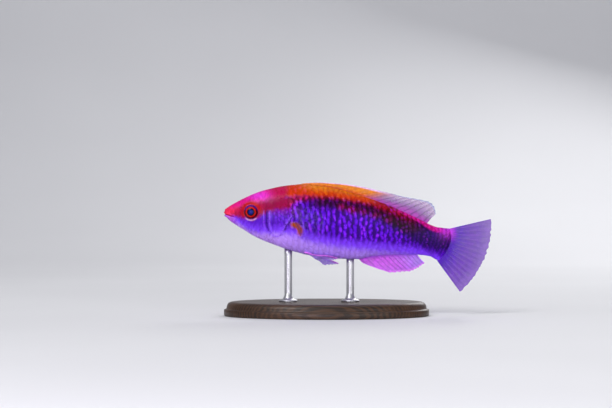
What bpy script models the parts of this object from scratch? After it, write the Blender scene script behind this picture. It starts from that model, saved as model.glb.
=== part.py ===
"""A fairy wrasse at life size, held over an oval base by two short rods.

The fish is modelled in its own frame: x runs from the tip of the snout to the tail, z is up, and
its left side faces -y. An empty at the snout places it over the base. Every size is in metres.
"""

import math

import bmesh
import bpy
import numpy as np

MM = 0.001

# The whole fish
TOTAL_LENGTH = 76 * MM
SNOUT_HEIGHT = 29.1 * MM  # of the snout's tip over the floor
TAIL_SWING = 2.0 * MM  # how far the tail is carried to the fish's right
SWING_START = 34 * MM
GAP = 0.3 * MM  # left between any two touching pieces

# Sections of the body: station, back, belly, half width, and the lean of the section towards the
# tail. Heights are over the tip of the snout, in millimetres.
BODY_SECTIONS = (
    (0.50, 1.18, -1.05, 1.00, 0.00),  # lips
    (1.60, 1.95, -2.20, 1.55, 0.00),
    (3.10, 2.83, -3.25, 2.05, 0.00),  # corner of the mouth
    (5.90, 4.28, -5.00, 2.85, 0.00),
    (8.50, 5.45, -6.60, 3.45, 0.00),  # behind the eye
    (12.0, 6.65, -8.25, 4.10, 0.00),  # cheek
    (17.0, 7.70, -10.1, 4.70, 0.00),  # nape
    (22.0, 8.15, -11.6, 5.00, 0.00),  # shoulder
    (28.0, 7.60, -12.75, 5.05, 0.00),
    (34.0, 6.35, -13.1, 4.80, 0.00),  # deepest
    (38.0, 5.15, -13.15, 4.40, 0.00),  # vent
    (41.5, 4.10, -12.3, 3.95, 0.00),
    (48.0, 1.60, -11.87, 3.05, 0.02),
    (54.1, -1.45, -11.88, 2.15, 0.134),  # front of the tail stalk
    (58.9, -3.90, -12.25, 1.60, 0.30),
    (62.3, -4.40, -13.7, 1.20, 0.344),  # root of the tail fin
)
WIDEST_LEVEL = 0.52  # share of the depth, from the belly, where a section is widest
SECTION_ROUNDNESS = 2.15  # exponent of the section's superellipse
RING_POINTS = 36
SNOUT_DOME = 0.35 * MM  # depth of the rounded front of the lips
SNOUT_RINGS = 2
TAIL_BULGE = 1.6 * MM  # how far the fleshy end of the tail curves out past its corners
TAIL_END_WIDTH = 0.42  # width of that end, as a share of the last section
TAIL_RINGS = 3

# Head
MOUTH_FRONT = (-0.5 * MM, -0.15 * MM)
MOUTH_CORNER = (3.0 * MM, -1.2 * MM)
JAW_FOOT = (5.7 * MM, -7.0 * MM)  # the jaw's rear seam runs from the mouth's corner to here
GAPE = 0.5 * MM  # opening of the mouth at its front
LIP_RISE, LIP_OFFSET, LIP_SPREAD = 0.3 * MM, 0.62 * MM, 0.36 * MM
EYE_CENTRE = (7.65 * MM, 0.28 * MM)
EYE_RADIUS = 1.85 * MM
EYE_DEPTH = 1.25 * MM  # half the eyeball's thickness
EYE_SINK = 0.72 * MM  # of its centre under the skin
EYE_TURN = math.radians(9)  # towards the snout
ORBIT_RISE, ORBIT_SPREAD = 0.16 * MM, 0.34 * MM
NOSTRILS = ((5.05, 1.55, 0.24), (5.75, 2.30, 0.18))  # x, z and radius, in millimetres
NOSTRIL_DEPTH = 0.45 * MM

# Gill cover: its outline as turn in degrees, from the tail round by the back, and reach
GILL_CENTRE = (16.5 * MM, -0.9 * MM)
GILL_OUTLINE = (
    (16, 3.96),
    (42, 4.6),
    (64, 5.46),
    (86, 5.81),
    (110, 5.44),
    (143, 4.28),
    (181, 3.8),
    (223, 4.81),
    (246, 6.45),
    (258, 6.24),
    (275, 4.22),
    (297, 2.82),
    (344, 2.6),
)
GILL_THICKNESS = 0.9 * MM
GILL_SPOKES, GILL_RINGS = 32, 4
GILL_RISE = 0.22 * MM  # of the rear edge over the skin
CHEEK_RISE, CHEEK_SPREAD = 0.14 * MM, 0.55 * MM  # ridge of the cheek in front of the gill cover
GILL_LINE = ((18.8, 12.0), (19.0, 6.0), (18.8, 1.0), (17.2, -3.2), (14.4, -7.2), (11.0, -12.0))

# Pads that the pectoral fins grow from
PECTORAL_TOP = (19.9 * MM, -2.9 * MM)
PECTORAL_FOOT = (21.5 * MM, -6.3 * MM)
PAD_RISE, PAD_SPREAD = 0.3 * MM, 1.1 * MM

# Fins
MEMBRANE = 0.5 * MM
RAY_RISE = 0.3 * MM  # of both faces together, where a ray runs
ROOT_THICKNESS = 1.05 * MM
TAIL_FIN_TOP = (75.95 * MM, -1.7 * MM)
TAIL_FIN_FOOT = (66.9 * MM, -22.55 * MM)
TAIL_FIN_BULGE = 2.6 * MM
SPINE_NOTCH = 0.1  # how far the dorsal fin's margin dips between two spines
DORSAL_BASE = (20.3 * MM, 56.3 * MM)  # stations of the body where it starts and ends
ANAL_BASE = (37.9 * MM, 55.3 * MM)
PELVIC_FRONT = np.array((22.9 * MM, -10.9 * MM))  # ends of their roots on the skin, as x and z
PELVIC_REAR = np.array((24.6 * MM, -11.75 * MM))
PELVIC_THICKNESS, PELVIC_BULGE = 0.8 * MM, 0.8 * MM
PELVIC_TIPS = {  # of the first and the last ray, in millimetres
    "left": ((32.4, 3.3, -12.7), (28.9, 1.6, -13.6)),
    "right": ((32.8, 2.6, -14.5), (28.2, 1.1, -14.9)),
}

# Ray lengths in millimetres and angles in degrees, along a fin's root from 0 to 1
DORSAL_LENGTH = ((0, 2.6), (0.11, 4.0), (0.34, 5.7), (0.59, 6.4), (0.82, 7.6), (0.92, 5.8), (1, 3.3))
DORSAL_ANGLE = ((0, 9), (0.11, 11), (0.34, 6), (0.59, 9), (0.82, 22), (0.92, 31), (1, 44))
ANAL_LENGTH = ((0, 2.0), (0.09, 3.8), (0.23, 7.0), (0.5, 7.0), (0.72, 5.7), (1, 3.1))
ANAL_ANGLE = ((0, -28), (0.12, -39), (1, -40))
PECTORAL_LENGTH = ((0, 10.0), (0.12, 12.6), (0.35, 12.4), (0.7, 9.5), (1, 5.6))
PECTORAL_SWEEP = ((0, 14), (0.5, 34), (1, 54))  # backwards, from straight out
PECTORAL_LIFT = ((0, 30), (0.5, 10), (1, -14))

# Stand
BASE_LENGTH, BASE_WIDTH, BASE_THICKNESS = 58 * MM, 36 * MM, 4 * MM
BASE_CENTRE = 29 * MM  # behind the snout
ROD_STATIONS = {"stand_rod_front": 18.2 * MM, "stand_rod_rear": 35.7 * MM}
ROD_RADIUS, FOOT_RADIUS, FOOT_HEIGHT = 1.1 * MM, 2.6 * MM, 1.0 * MM


def smooth_curve(knots):
    """The smooth function through (place, value) pairs that doesn't swing past them."""
    places, values = np.array(sorted(map(tuple, knots)), float).T
    slopes = np.diff(values) / np.diff(places)
    tangents = np.concatenate([slopes[:1], np.zeros(len(places) - 2), slopes[-1:]])
    for i in range(1, len(places) - 1):
        if slopes[i - 1] * slopes[i] > 0:
            tangents[i] = 2 * slopes[i - 1] * slopes[i] / (slopes[i - 1] + slopes[i])

    def value(place):
        place = np.clip(place, places[0], places[-1])
        i = np.clip(np.searchsorted(places, place) - 1, 0, len(places) - 2)
        step = places[i + 1] - places[i]
        t = (place - places[i]) / step
        bend = t * t * (3 - 2 * t)
        start = (t * (1 - t) ** 2) * step * tangents[i]
        end = (t * t * (t - 1)) * step * tangents[i + 1]
        return values[i] * (1 - bend) + values[i + 1] * bend + start + end

    return value


def fade(value, low, high):
    """0 below low, 1 above high, and a smooth step between them."""
    t = np.clip((value - low) / (high - low), 0, 1)
    return t * t * (3 - 2 * t)


SECTIONS = np.array(BODY_SECTIONS) * (MM, MM, MM, MM, 1)
back_line = smooth_curve(SECTIONS[:, (0, 1)])
belly_line = smooth_curve(SECTIONS[:, (0, 2)])
half_width = smooth_curve(SECTIONS[:, (0, 3)])
section_lean = smooth_curve(SECTIONS[:, (0, 4)])
FIRST_STATION, LAST_STATION = SECTIONS[0, 0], SECTIONS[-1, 0]


def edge_point(station, side):
    """Where the section at a station has its top (side 1) or its bottom (side -1), as x and z."""
    half_depth = (back_line(station) - belly_line(station)) / 2
    z = back_line(station) if side > 0 else belly_line(station)
    return station + side * section_lean(station) * half_depth, z


def sway(points):
    """Carries the rear of the fish to its right."""
    moved = np.array(points, float)
    share = np.clip(moved[..., 0] - SWING_START, 0, None) / (TOTAL_LENGTH - SWING_START)
    moved[..., 1] += TAIL_SWING * share**2
    return moved


def flank(x, z):
    """Half the body's width at a place on its side, where the sections stand upright."""
    top, bottom = back_line(x), belly_line(x)
    level = bottom + WIDEST_LEVEL * (top - bottom)
    reach = np.where(z > level, top - level, level - bottom)
    share = np.clip(np.abs(z - level) / reach, 0, 1)
    return half_width(x) * (1 - share**SECTION_ROUNDNESS) ** (1 / SECTION_ROUNDNESS)


gill_curve = smooth_curve(
    [(math.radians(turn + lap), reach * MM) for lap in (-360, 0, 360) for turn, reach in GILL_OUTLINE]
)


def gill_reach(turn):
    """How far the gill cover reaches from its centre, towards a turn in radians."""
    return gill_curve(np.mod(turn, 2 * math.pi))


def gill_turn(x, z):
    """The turn and the distance of a place from the gill cover's centre."""
    x, z = x - GILL_CENTRE[0], z - GILL_CENTRE[1]
    return np.arctan2(z, x), np.hypot(x, z)


def relief(points):
    """How far lips, orbits and fin pads rise over the plain skin, at points of the fish's side."""
    x, z = points[..., 0], points[..., 2]
    slope = (MOUTH_CORNER[1] - MOUTH_FRONT[1]) / (MOUTH_CORNER[0] - MOUTH_FRONT[0])
    from_mouth = np.abs(z - MOUTH_FRONT[1] - slope * (x - MOUTH_FRONT[0]))
    lips = LIP_RISE * np.exp(-(((from_mouth - LIP_OFFSET) / LIP_SPREAD) ** 2))
    lips *= 1 - fade(x, MOUTH_CORNER[0] - 0.8 * MM, MOUTH_CORNER[0] + 0.3 * MM)
    from_eye = np.hypot(x - EYE_CENTRE[0], z - EYE_CENTRE[1])
    orbit = ORBIT_RISE * np.exp(-(((from_eye - EYE_RADIUS - GAP) / ORBIT_SPREAD) ** 2))
    along = np.array(PECTORAL_FOOT) - PECTORAL_TOP
    share = ((x - PECTORAL_TOP[0]) * along[0] + (z - PECTORAL_TOP[1]) * along[1]) / (along @ along)
    share = np.clip(share, 0, 1)
    from_pad = np.hypot(x - PECTORAL_TOP[0] - share * along[0], z - PECTORAL_TOP[1] - share * along[1])
    pad = PAD_RISE * np.exp(-((from_pad / PAD_SPREAD) ** 2))
    turn, reach = gill_turn(x, z)
    ahead = fade(-np.cos(turn), 0.1, 0.6)
    cheek = CHEEK_RISE * ahead * np.exp(-(((reach - gill_reach(turn) - 2 * GAP) / CHEEK_SPREAD) ** 2))
    return lips + orbit + pad + cheek


def body_stations():
    """Places of the sections, close together on the head."""
    mouth_end, head_end = 4.6 * MM, 20.6 * MM
    return np.concatenate(
        [
            np.linspace(FIRST_STATION, mouth_end, 12)[:-1],
            np.linspace(mouth_end, head_end, 26)[:-1],
            np.linspace(head_end, LAST_STATION, 24),
        ]
    )


def body_rings(grow=0.0):
    """The rings of the body's surface, from the lips to the root of the tail fin."""
    angle = np.arange(RING_POINTS) * 2 * math.pi / RING_POINTS
    side = np.sign(np.sin(angle)) * np.abs(np.sin(angle)) ** (2 / SECTION_ROUNDNESS)
    rise = np.sign(np.cos(angle)) * np.abs(np.cos(angle)) ** (2 / SECTION_ROUNDNESS)
    side[RING_POINTS // 2] = 0.0

    def ring(station, shrink=1.0, ahead=0.0, bulge=0.0, narrow=1.0):
        top, bottom = back_line(station) + grow, belly_line(station) - grow
        level = bottom + WIDEST_LEVEL * (top - bottom)
        middle = (top + bottom) / 2
        height = np.where(rise > 0, top - level, level - bottom)
        z = middle + (level + height * rise - middle) * shrink
        share = (z - middle) / ((top - bottom) / 2)
        x = station + section_lean(station) * (z - middle) - ahead + bulge * (1 - share**2)
        y = (half_width(station) + grow) * side * shrink * narrow
        return np.stack([x, y, z], axis=-1)

    dome = [
        ring(FIRST_STATION, math.cos(turn), (SNOUT_DOME + grow) * math.sin(turn))
        for turn in np.linspace(math.radians(68), 0, SNOUT_RINGS + 1)[:-1]
    ]
    sides = [ring(station) for station in body_stations()]
    end = [
        ring(LAST_STATION, bulge=(TAIL_BULGE + grow) * share, narrow=1 - (1 - TAIL_END_WIDTH) * share**2)
        for share in np.linspace(0, 1, TAIL_RINGS + 1)[1:]
    ]
    return np.array(dome + sides + end)


def outward(rings):
    """The direction that faces away from the body, at each point of its rings."""
    along = np.gradient(rings, axis=0)
    around = np.roll(rings, -1, axis=1) - np.roll(rings, 1, axis=1)
    facing = np.cross(along, around)
    return facing / np.maximum(np.linalg.norm(facing, axis=-1, keepdims=True), 1e-12)


def make_body_mesh(name, grow=0.0):
    """The whole body as one closed surface: rings, a pole on the lips and a strip at the tail."""
    rings = body_rings(grow)
    if not grow:
        rings = rings + outward(rings) * relief(rings)[..., None]
    count, around = rings.shape[:2]
    tip = rings[0].mean(axis=0) - (SNOUT_DOME * 0.1, 0, 0)
    points = np.concatenate([sway(rings).reshape(-1, 3), [tip]])
    faces = []
    for i in range(count - 1):
        for k in range(around):
            n = (k + 1) % around
            faces.append((i * around + k, i * around + n, (i + 1) * around + n, (i + 1) * around + k))
    for k in range(around):
        faces.append((len(points) - 1, (k + 1) % around, k))
    last = (count - 1) * around
    for k in range(around // 2):
        ends = (k, k + 1, (around - k - 1) % around, (around - k) % around)
        strip = dict.fromkeys(last + corner for corner in ends)
        faces.append(tuple(strip))
    mesh = bpy.data.meshes.new(name)
    mesh.from_pydata(points.tolist(), [], faces)
    closed = bmesh.new()
    closed.from_mesh(mesh)
    bmesh.ops.recalc_face_normals(closed, faces=closed.faces)
    closed.to_mesh(mesh)
    closed.free()
    mesh.shade_smooth()
    return mesh


def make_material(name, colour, roughness, metallic=0.0):
    material = bpy.data.materials.new(name)
    material.use_nodes = True
    shader = material.node_tree.nodes["Principled BSDF"]
    shader.inputs["Base Color"].default_value = (*colour, 1)
    shader.inputs["Roughness"].default_value = roughness
    shader.inputs["Metallic"].default_value = metallic
    return material


def add_object(name, mesh, collection, material=None, parent=None):
    obj = bpy.data.objects.new(name, mesh)
    collection.objects.link(obj)
    obj.parent = parent
    if material and not mesh.materials:
        mesh.materials.append(material)
    return obj


def add_cutter(name, mesh, collection, parent):
    cutter = add_object(name, mesh, collection, parent=parent)
    cutter.hide_render = True
    cutter.display_type = "WIRE"
    return cutter


def cut(obj, name, operation, cutter=None, collection=None):
    modifier = obj.modifiers.new(name, "BOOLEAN")
    modifier.operation = operation
    modifier.solver = "EXACT"
    if collection:
        modifier.operand_type = "COLLECTION"
        modifier.collection = collection
    else:
        modifier.object = cutter
    return modifier


def moved_sideways(line, distance):
    """A line of (x, z) points moved towards the tail by the distance, square to itself."""
    line = np.array(line, float)
    along = np.gradient(line, axis=0)
    along /= np.linalg.norm(along, axis=1, keepdims=True)
    tailward = np.stack([np.abs(along[:, 1]), np.sign(along[:, 1]) * -along[:, 0]], axis=1)
    return line + tailward * distance


def make_block(name, outline, half=14 * MM):
    """A block with this (x, z) outline, wide enough to reach through the whole fish."""
    block = bmesh.new()
    near = [block.verts.new((x, -half, z)) for x, z in outline]
    face = block.faces.new(near)
    pulled = bmesh.ops.extrude_face_region(block, geom=[face])
    corners = [item for item in pulled["geom"] if isinstance(item, bmesh.types.BMVert)]
    bmesh.ops.translate(block, verts=corners, vec=(0, 2 * half, 0))
    bmesh.ops.recalc_face_normals(block, faces=block.faces)
    mesh = bpy.data.meshes.new(name)
    block.to_mesh(mesh)
    block.free()
    return mesh


def gill_line():
    """The seam behind the head, from over the nape to under the throat."""
    line = np.array(GILL_LINE) * MM
    forward = smooth_curve(line[:, (1, 0)])
    heights = np.linspace(line[0, 1], line[-1, 1], 15)
    return np.stack([forward(heights), heights], axis=1)


def tail_line():
    """The straight seam in front of the tail stalk, leaning as the section there does."""
    station = BODY_SECTIONS[13][0] * MM
    middle = (back_line(station) + belly_line(station)) / 2
    heights = np.array([middle + 12 * MM, middle - 12 * MM])
    return np.stack([station + section_lean(station) * (heights - middle), heights], axis=1)


def make_regions(cutters, fish):
    """Blocks that part the body into head, trunk and tail stalk, with the gap between them."""
    far, high = 80 * MM, 16 * MM
    low = -20 * MM
    gills, tail = gill_line(), tail_line()
    outlines = {
        "head": [*moved_sideways(gills, -GAP / 2), (-far, low), (-far, high)],
        "trunk": [*moved_sideways(gills, GAP / 2), *moved_sideways(tail, -GAP / 2)[::-1]],
        "tail_stalk": [*moved_sideways(tail, GAP / 2), (far, low), (far, high)],
    }
    return {
        node: add_cutter("cut_" + node, make_block("cut_" + node, outline), cutters, fish)
        for node, outline in outlines.items()
    }


def make_jaw_regions(cutters, fish):
    """The block that keeps the lower jaw, and the larger one that clears it from the head."""
    front, corner, foot = np.array(MOUTH_FRONT), np.array(MOUTH_CORNER), np.array(JAW_FOOT)
    ahead = np.array((3 * MM, 0))
    step = np.array((GAP / 2, GAP / 2))
    half_gape = np.array((0, GAPE / 2))
    under = np.array((front[0] - ahead[0], foot[1]))
    kept = [front - ahead - half_gape, front - half_gape, corner - step, foot - (GAP / 2, 0), under]
    cleared = [front - ahead + half_gape, front + half_gape, corner + step * (0.6, 1), foot + (GAP / 2, 0), under]
    return tuple(
        add_cutter(name, make_block(name, outline), cutters, fish)
        for name, outline in (("cut_jaw", kept), ("cut_jaw_room", cleared))
    )


def make_grid(name, columns, rows, place):
    """A sheet of triangles from a plain grid, each vertex placed by place(u, v) from 0 to 1."""
    sheet = bmesh.new()
    bmesh.ops.create_grid(sheet, x_segments=columns, y_segments=rows, size=0.5)
    shares = np.array([(v.co.x + 0.5, v.co.y + 0.5) for v in sheet.verts])
    points = sway(place(shares[:, 0], shares[:, 1]))
    for vertex, point in zip(sheet.verts, points):
        vertex.co = point
    bmesh.ops.triangulate(sheet, faces=sheet.faces, quad_method="FIXED")
    mesh = bpy.data.meshes.new(name)
    sheet.to_mesh(mesh)
    sheet.free()
    mesh.shade_smooth()
    return mesh, shares


def make_gill_cover(name, side, collection, fish, material=None, grow=0.0):
    """The plate over the gills of one side. With grow it is the pocket that clears the plate."""
    turns = np.arange(GILL_SPOKES) * 2 * math.pi / GILL_SPOKES
    shares = np.linspace(0, 1, GILL_RINGS + 1)[1:, None]
    reach = shares * (gill_reach(turns) + 1.2 * grow)
    x = np.append(GILL_CENTRE[0] + reach * np.cos(turns), GILL_CENTRE[0])
    z = np.append(GILL_CENTRE[1] + reach * np.sin(turns), GILL_CENTRE[1])
    rear = 0.3 + 0.7 * fade(np.cos(turns), -0.5, 0.6)
    rise = np.append(GILL_RISE * shares**2 * rear, 0)
    points = sway(np.stack([x, side * (flank(x, z) + rise), z], axis=-1))
    last = len(points) - 1
    faces = []
    for k in range(GILL_SPOKES):
        n = (k + 1) % GILL_SPOKES
        faces.append((last, n, k))
        for i in range(GILL_RINGS - 1):
            inner, outer = i * GILL_SPOKES, (i + 1) * GILL_SPOKES
            faces.append((inner + k, inner + n, outer + n))
            faces.append((inner + k, outer + n, outer + k))
    if side > 0:
        faces = [face[::-1] for face in faces]
    mesh = bpy.data.meshes.new(name)
    mesh.from_pydata(points.tolist(), [], faces)
    mesh.shade_smooth()
    add = add_cutter if grow else add_object
    cover = add(name, mesh, collection, parent=fish)
    if material:
        mesh.materials.append(material)
    solid = cover.modifiers.new("thickness", "SOLIDIFY")
    solid.thickness = GILL_THICKNESS + GILL_RISE + 4 * grow
    solid.offset = 6 * grow / solid.thickness - 1
    return cover


def make_ball(name, centre, radii, turn, segments, rings):
    """An ellipsoid with its poles towards the fish's sides, turned about the vertical."""
    ball = bmesh.new()
    bmesh.ops.create_uvsphere(ball, u_segments=segments, v_segments=rings, radius=1)
    cosine, sine = math.cos(turn), math.sin(turn)
    for vertex in ball.verts:
        x, y, z = vertex.co.x * radii[0], vertex.co.z * radii[1], -vertex.co.y * radii[2]
        vertex.co = (centre[0] + x * cosine - y * sine, centre[1] + x * sine + y * cosine, centre[2] + z)
    mesh = bpy.data.meshes.new(name)
    ball.to_mesh(mesh)
    ball.free()
    mesh.shade_smooth()
    return mesh


def make_eyes(nodes, pockets, fish, material):
    x, z = EYE_CENTRE
    for label, side in (("left", -1), ("right", 1)):
        centre = (x, side * (flank(x, z) - EYE_SINK), z)
        sizes = (EYE_RADIUS, EYE_DEPTH, EYE_RADIUS)
        eye = make_ball("eye_" + label, centre, sizes, side * EYE_TURN, 20, 12)
        add_object("eye_" + label, eye, nodes, material, fish)
        room = tuple(size + GAP for size in sizes)
        socket = make_ball("socket_" + label, centre, room, side * EYE_TURN, 24, 12)
        add_cutter("socket_" + label, socket, pockets, fish)


def make_nostrils(pockets, fish):
    """Two pits on each side of the snout."""
    for i, (x, z, radius) in enumerate(np.array(NOSTRILS) * MM):
        for label, side in (("left", -1), ("right", 1)):
            pit = bmesh.new()
            bmesh.ops.create_cone(
                pit, cap_ends=True, segments=8, radius1=radius, radius2=radius, depth=2 * NOSTRIL_DEPTH
            )
            middle = side * flank(x, z)
            for vertex in pit.verts:
                vertex.co = (x + vertex.co.x, middle + vertex.co.z, z - vertex.co.y)
            name = f"nostril_{label}_{i}"
            mesh = bpy.data.meshes.new(name)
            pit.to_mesh(mesh)
            pit.free()
            add_cutter(name, mesh, pockets, fish)


def make_flesh(nodes, cutters, fish, skin, belly_skin):
    """Head, lower jaw, trunk and tail stalk, parted from one body."""
    pockets = bpy.data.collections.new("pockets")
    cutters.children.link(pockets)
    for label, side in (("left", -1), ("right", 1)):
        make_gill_cover("gill_cover_" + label, side, nodes, fish, skin)
        make_gill_cover("gill_pocket_" + label, side, pockets, fish, grow=GAP)
    make_eyes(nodes, pockets, fish, make_material("eye", (0.55, 0.02, 0.02), 0.15))
    make_nostrils(pockets, fish)
    regions = make_regions(cutters, fish)
    jaw_kept, jaw_room = make_jaw_regions(cutters, fish)
    body = make_body_mesh("body")
    parts = {name: add_object(name, body.copy(), nodes, skin, fish) for name in regions}
    for name, part in parts.items():
        cut(part, "keep", "INTERSECT", regions[name])
        if name != "tail_stalk":
            cut(part, "pockets", "DIFFERENCE", collection=pockets)
    cut(parts["head"], "mouth", "DIFFERENCE", jaw_room)
    jaw = add_object("lower_jaw", body.copy(), nodes, belly_skin, fish)
    cut(jaw, "keep", "INTERSECT", jaw_kept)


def make_fin(
    name, nodes, fish, material, rays, columns_per_ray, rows, place, branches_at=2.0, root=ROOT_THICKNESS
):
    """A fin: a membrane thickened to its root, with its rays as ridges on both faces.

    From branches_at of its length on, each soft ray is a pair of ridges."""
    mesh, shares = make_grid(name, rays * columns_per_ray, rows, place)
    u, v = shares.T
    phase = u * rays * 2 * math.pi
    single = 0.5 - 0.5 * np.cos(phase)
    pair = 0.5 - 0.5 * np.cos(2 * phase)
    ridge = np.where(v < branches_at, single, pair)
    rib = MEMBRANE + RAY_RISE * ridge * (1 - 0.5 * v)
    thickness = rib + (root - MEMBRANE - RAY_RISE * ridge) * (1 - fade(v, 0, 0.4))
    thickest = root + RAY_RISE
    fin = add_object(name, mesh, nodes, material, fish)
    group = fin.vertex_groups.new(name="thickness")
    least = MEMBRANE / thickest
    for i, share in enumerate((thickness / thickest - least) / (1 - least)):
        group.add([i], float(share), "REPLACE")
    solid = fin.modifiers.new("thickness", "SOLIDIFY")
    solid.thickness = thickest
    solid.offset = 0
    solid.vertex_group = group.name
    solid.thickness_vertex_group = least
    return fin


def between(start, end, share):
    return start + (end - start) * share


def make_dorsal_fin(nodes, fish, material):
    """Eleven spines folded low along the back, then nine soft rays that fan up."""
    length, angle = smooth_curve(DORSAL_LENGTH), smooth_curve(DORSAL_ANGLE)
    rays = 20

    def place(u, v):
        x, z = edge_point(between(*DORSAL_BASE, u), 1)
        notch = SPINE_NOTCH * (0.5 + 0.5 * np.cos(u * rays * 2 * math.pi)) * (u < 11 / rays)
        reach = v * length(u) * MM * (1 - notch)
        x = x + reach * np.cos(np.radians(angle(u)))
        z = z + GAP + reach * np.sin(np.radians(angle(u)))
        return np.stack([x, np.zeros_like(x), z], axis=-1)

    make_fin("dorsal_fin", nodes, fish, material, rays, 4, 5, place)


def make_anal_fin(nodes, fish, material):
    """Three spines and nine soft rays under the tail half of the body."""
    length, angle = smooth_curve(ANAL_LENGTH), smooth_curve(ANAL_ANGLE)

    def place(u, v):
        x, z = edge_point(between(*ANAL_BASE, u), -1)
        x = x + v * length(u) * MM * np.cos(np.radians(angle(u)))
        z = z - GAP + v * length(u) * MM * np.sin(np.radians(angle(u)))
        return np.stack([x, np.zeros_like(x), z], axis=-1)

    make_fin("anal_fin", nodes, fish, material, 12, 4, 5, place)


def make_tail_fin(nodes, fish, material):
    """Thirteen main rays that fan out from the curved end of the tail and branch once."""
    top, bottom = back_line(LAST_STATION), belly_line(LAST_STATION)
    middle, half_depth = (top + bottom) / 2, (top - bottom) / 2
    upper, lower = np.array(TAIL_FIN_TOP), np.array(TAIL_FIN_FOOT)
    chord = lower - upper
    backward = np.array((-chord[1], chord[0])) / np.linalg.norm(chord)

    def place(u, v):
        z = top - u * (top - bottom)
        share = (z - middle) / half_depth
        x = LAST_STATION + section_lean(LAST_STATION) * (z - middle) + TAIL_BULGE * (1 - share**2)
        root = np.stack([x + GAP, z], axis=-1)
        rim = upper + u[:, None] * chord + (TAIL_FIN_BULGE * 4 * u * (1 - u))[:, None] * backward
        flat = between(root, rim, v[:, None])
        return np.stack([flat[:, 0], np.zeros_like(x), flat[:, 1]], axis=-1)

    make_fin("tail_fin", nodes, fish, material, 13, 4, 7, place, branches_at=0.5)


def make_pectoral_fin(label, side, nodes, fish, material):
    """Fifteen rays that stand out from the pad on the flank, swept back and raised."""
    length, sweep, lift = map(smooth_curve, (PECTORAL_LENGTH, PECTORAL_SWEEP, PECTORAL_LIFT))
    top, foot = np.array(PECTORAL_TOP), np.array(PECTORAL_FOOT)

    def place(u, v):
        root = between(top, foot, u[:, None])
        swept, raised = np.radians(sweep(u) + 10 * v), np.radians(lift(u))
        reach = v * length(u) * MM
        x = root[:, 0] + reach * np.sin(swept) * np.cos(raised)
        y = flank(root[:, 0], root[:, 1]) + PAD_RISE + GAP + reach * np.cos(swept) * np.cos(raised)
        z = root[:, 1] + reach * np.sin(raised)
        return np.stack([x, side * y, z], axis=-1)

    make_fin("pectoral_fin_" + label, nodes, fish, material, 15, 3, 6, place)


def make_pelvic_fin(label, side, tips, nodes, fish, material):
    """One spine and five rays, fanned from the breast to a line between the two tips."""
    lead, trail = np.array(tips) * MM

    def place(u, v):
        skin = between(PELVIC_FRONT, PELVIC_REAR, u[:, None])
        out = flank(skin[:, 0], skin[:, 1]) + GAP * 0.7
        root = np.stack([skin[:, 0], out, skin[:, 1] - GAP * 1.5], axis=-1)
        tip = between(lead, trail, u[:, None]) + np.outer(PELVIC_BULGE * 4 * u * (1 - u), (1, 0, 0))
        return between(root, tip, v[:, None]) * (1, side, 1)

    make_fin("pelvic_fin_" + label, nodes, fish, material, 6, 3, 5, place, root=PELVIC_THICKNESS)


def make_stand(nodes, cutters, fish):
    wood = make_material("dark_wood", (0.09, 0.05, 0.03), 0.45)
    steel = make_material("steel", (0.6, 0.6, 0.62), 0.3, 1.0)
    centre = BASE_CENTRE - TOTAL_LENGTH / 2
    plate = bmesh.new()
    bmesh.ops.create_cone(plate, cap_ends=True, segments=48, radius1=0.5, radius2=0.5, depth=1)
    bmesh.ops.scale(plate, verts=plate.verts, vec=(BASE_LENGTH, BASE_WIDTH, BASE_THICKNESS))
    mesh = bpy.data.meshes.new("stand_base")
    plate.to_mesh(mesh)
    plate.free()
    base = add_object("stand_base", mesh, nodes, wood)
    base.location = (centre, 0, BASE_THICKNESS / 2)
    edge = base.modifiers.new("edge", "BEVEL")
    edge.width, edge.segments = 0.7 * MM, 2
    edge.limit_method, edge.angle_limit = "ANGLE", math.radians(60)

    clearance = add_cutter("cut_rods", make_body_mesh("cut_rods", GAP), cutters, fish)
    for name, station in ROD_STATIONS.items():
        floor = BASE_THICKNESS + GAP
        top = SNOUT_HEIGHT + belly_line(station) + 1.2 * MM
        profile = (
            (0, top),
            (ROD_RADIUS, top),
            (ROD_RADIUS, floor + FOOT_HEIGHT * 1.3),
            (FOOT_RADIUS, floor + FOOT_HEIGHT * 0.6),
            (FOOT_RADIUS, floor),
            (0, floor),
        )
        turned = bpy.data.meshes.new(name)
        edges = [(i, i + 1) for i in range(len(profile) - 1)]
        turned.from_pydata([(radius, 0, height) for radius, height in profile], edges, [])
        rod = add_object(name, turned, nodes, steel)
        rod.location.x = station - TOTAL_LENGTH / 2
        spin = rod.modifiers.new("turned", "SCREW")
        spin.steps = spin.render_steps = 20
        spin.use_merge_vertices = True
        spin.merge_threshold = 0.01 * MM
        spin.use_smooth_shade = True
        cut(rod, "saddle", "DIFFERENCE", clearance)


def main():
    for obj in list(bpy.data.objects):
        bpy.data.objects.remove(obj)
    nodes = bpy.data.collections.new("fairy_wrasse")
    cutters = bpy.data.collections.new("cutters")
    for collection in (nodes, cutters):
        bpy.context.scene.collection.children.link(collection)
    fish = bpy.data.objects.new("snout", None)
    fish.location = (-TOTAL_LENGTH / 2, 0, SNOUT_HEIGHT)
    nodes.objects.link(fish)

    skin = make_material("violet_skin", (0.13, 0.01, 0.72), 0.35)
    belly_skin = make_material("lavender_skin", (0.36, 0.2, 0.9), 0.35)
    clear_fin = make_material("clear_fin", (0.3, 0.16, 0.75), 0.3)
    orange_fin = make_material("orange_fin", (0.8, 0.24, 0.02), 0.35)
    pink_fin = make_material("pink_fin", (0.72, 0.14, 0.9), 0.3)

    make_flesh(nodes, cutters, fish, skin, belly_skin)
    make_dorsal_fin(nodes, fish, orange_fin)
    make_anal_fin(nodes, fish, pink_fin)
    make_tail_fin(nodes, fish, clear_fin)
    for label, side in (("left", -1), ("right", 1)):
        make_pectoral_fin(label, side, nodes, fish, clear_fin)
        make_pelvic_fin(label, side, PELVIC_TIPS[label], nodes, fish, pink_fin)
    make_stand(nodes, cutters, fish)


main()
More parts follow.
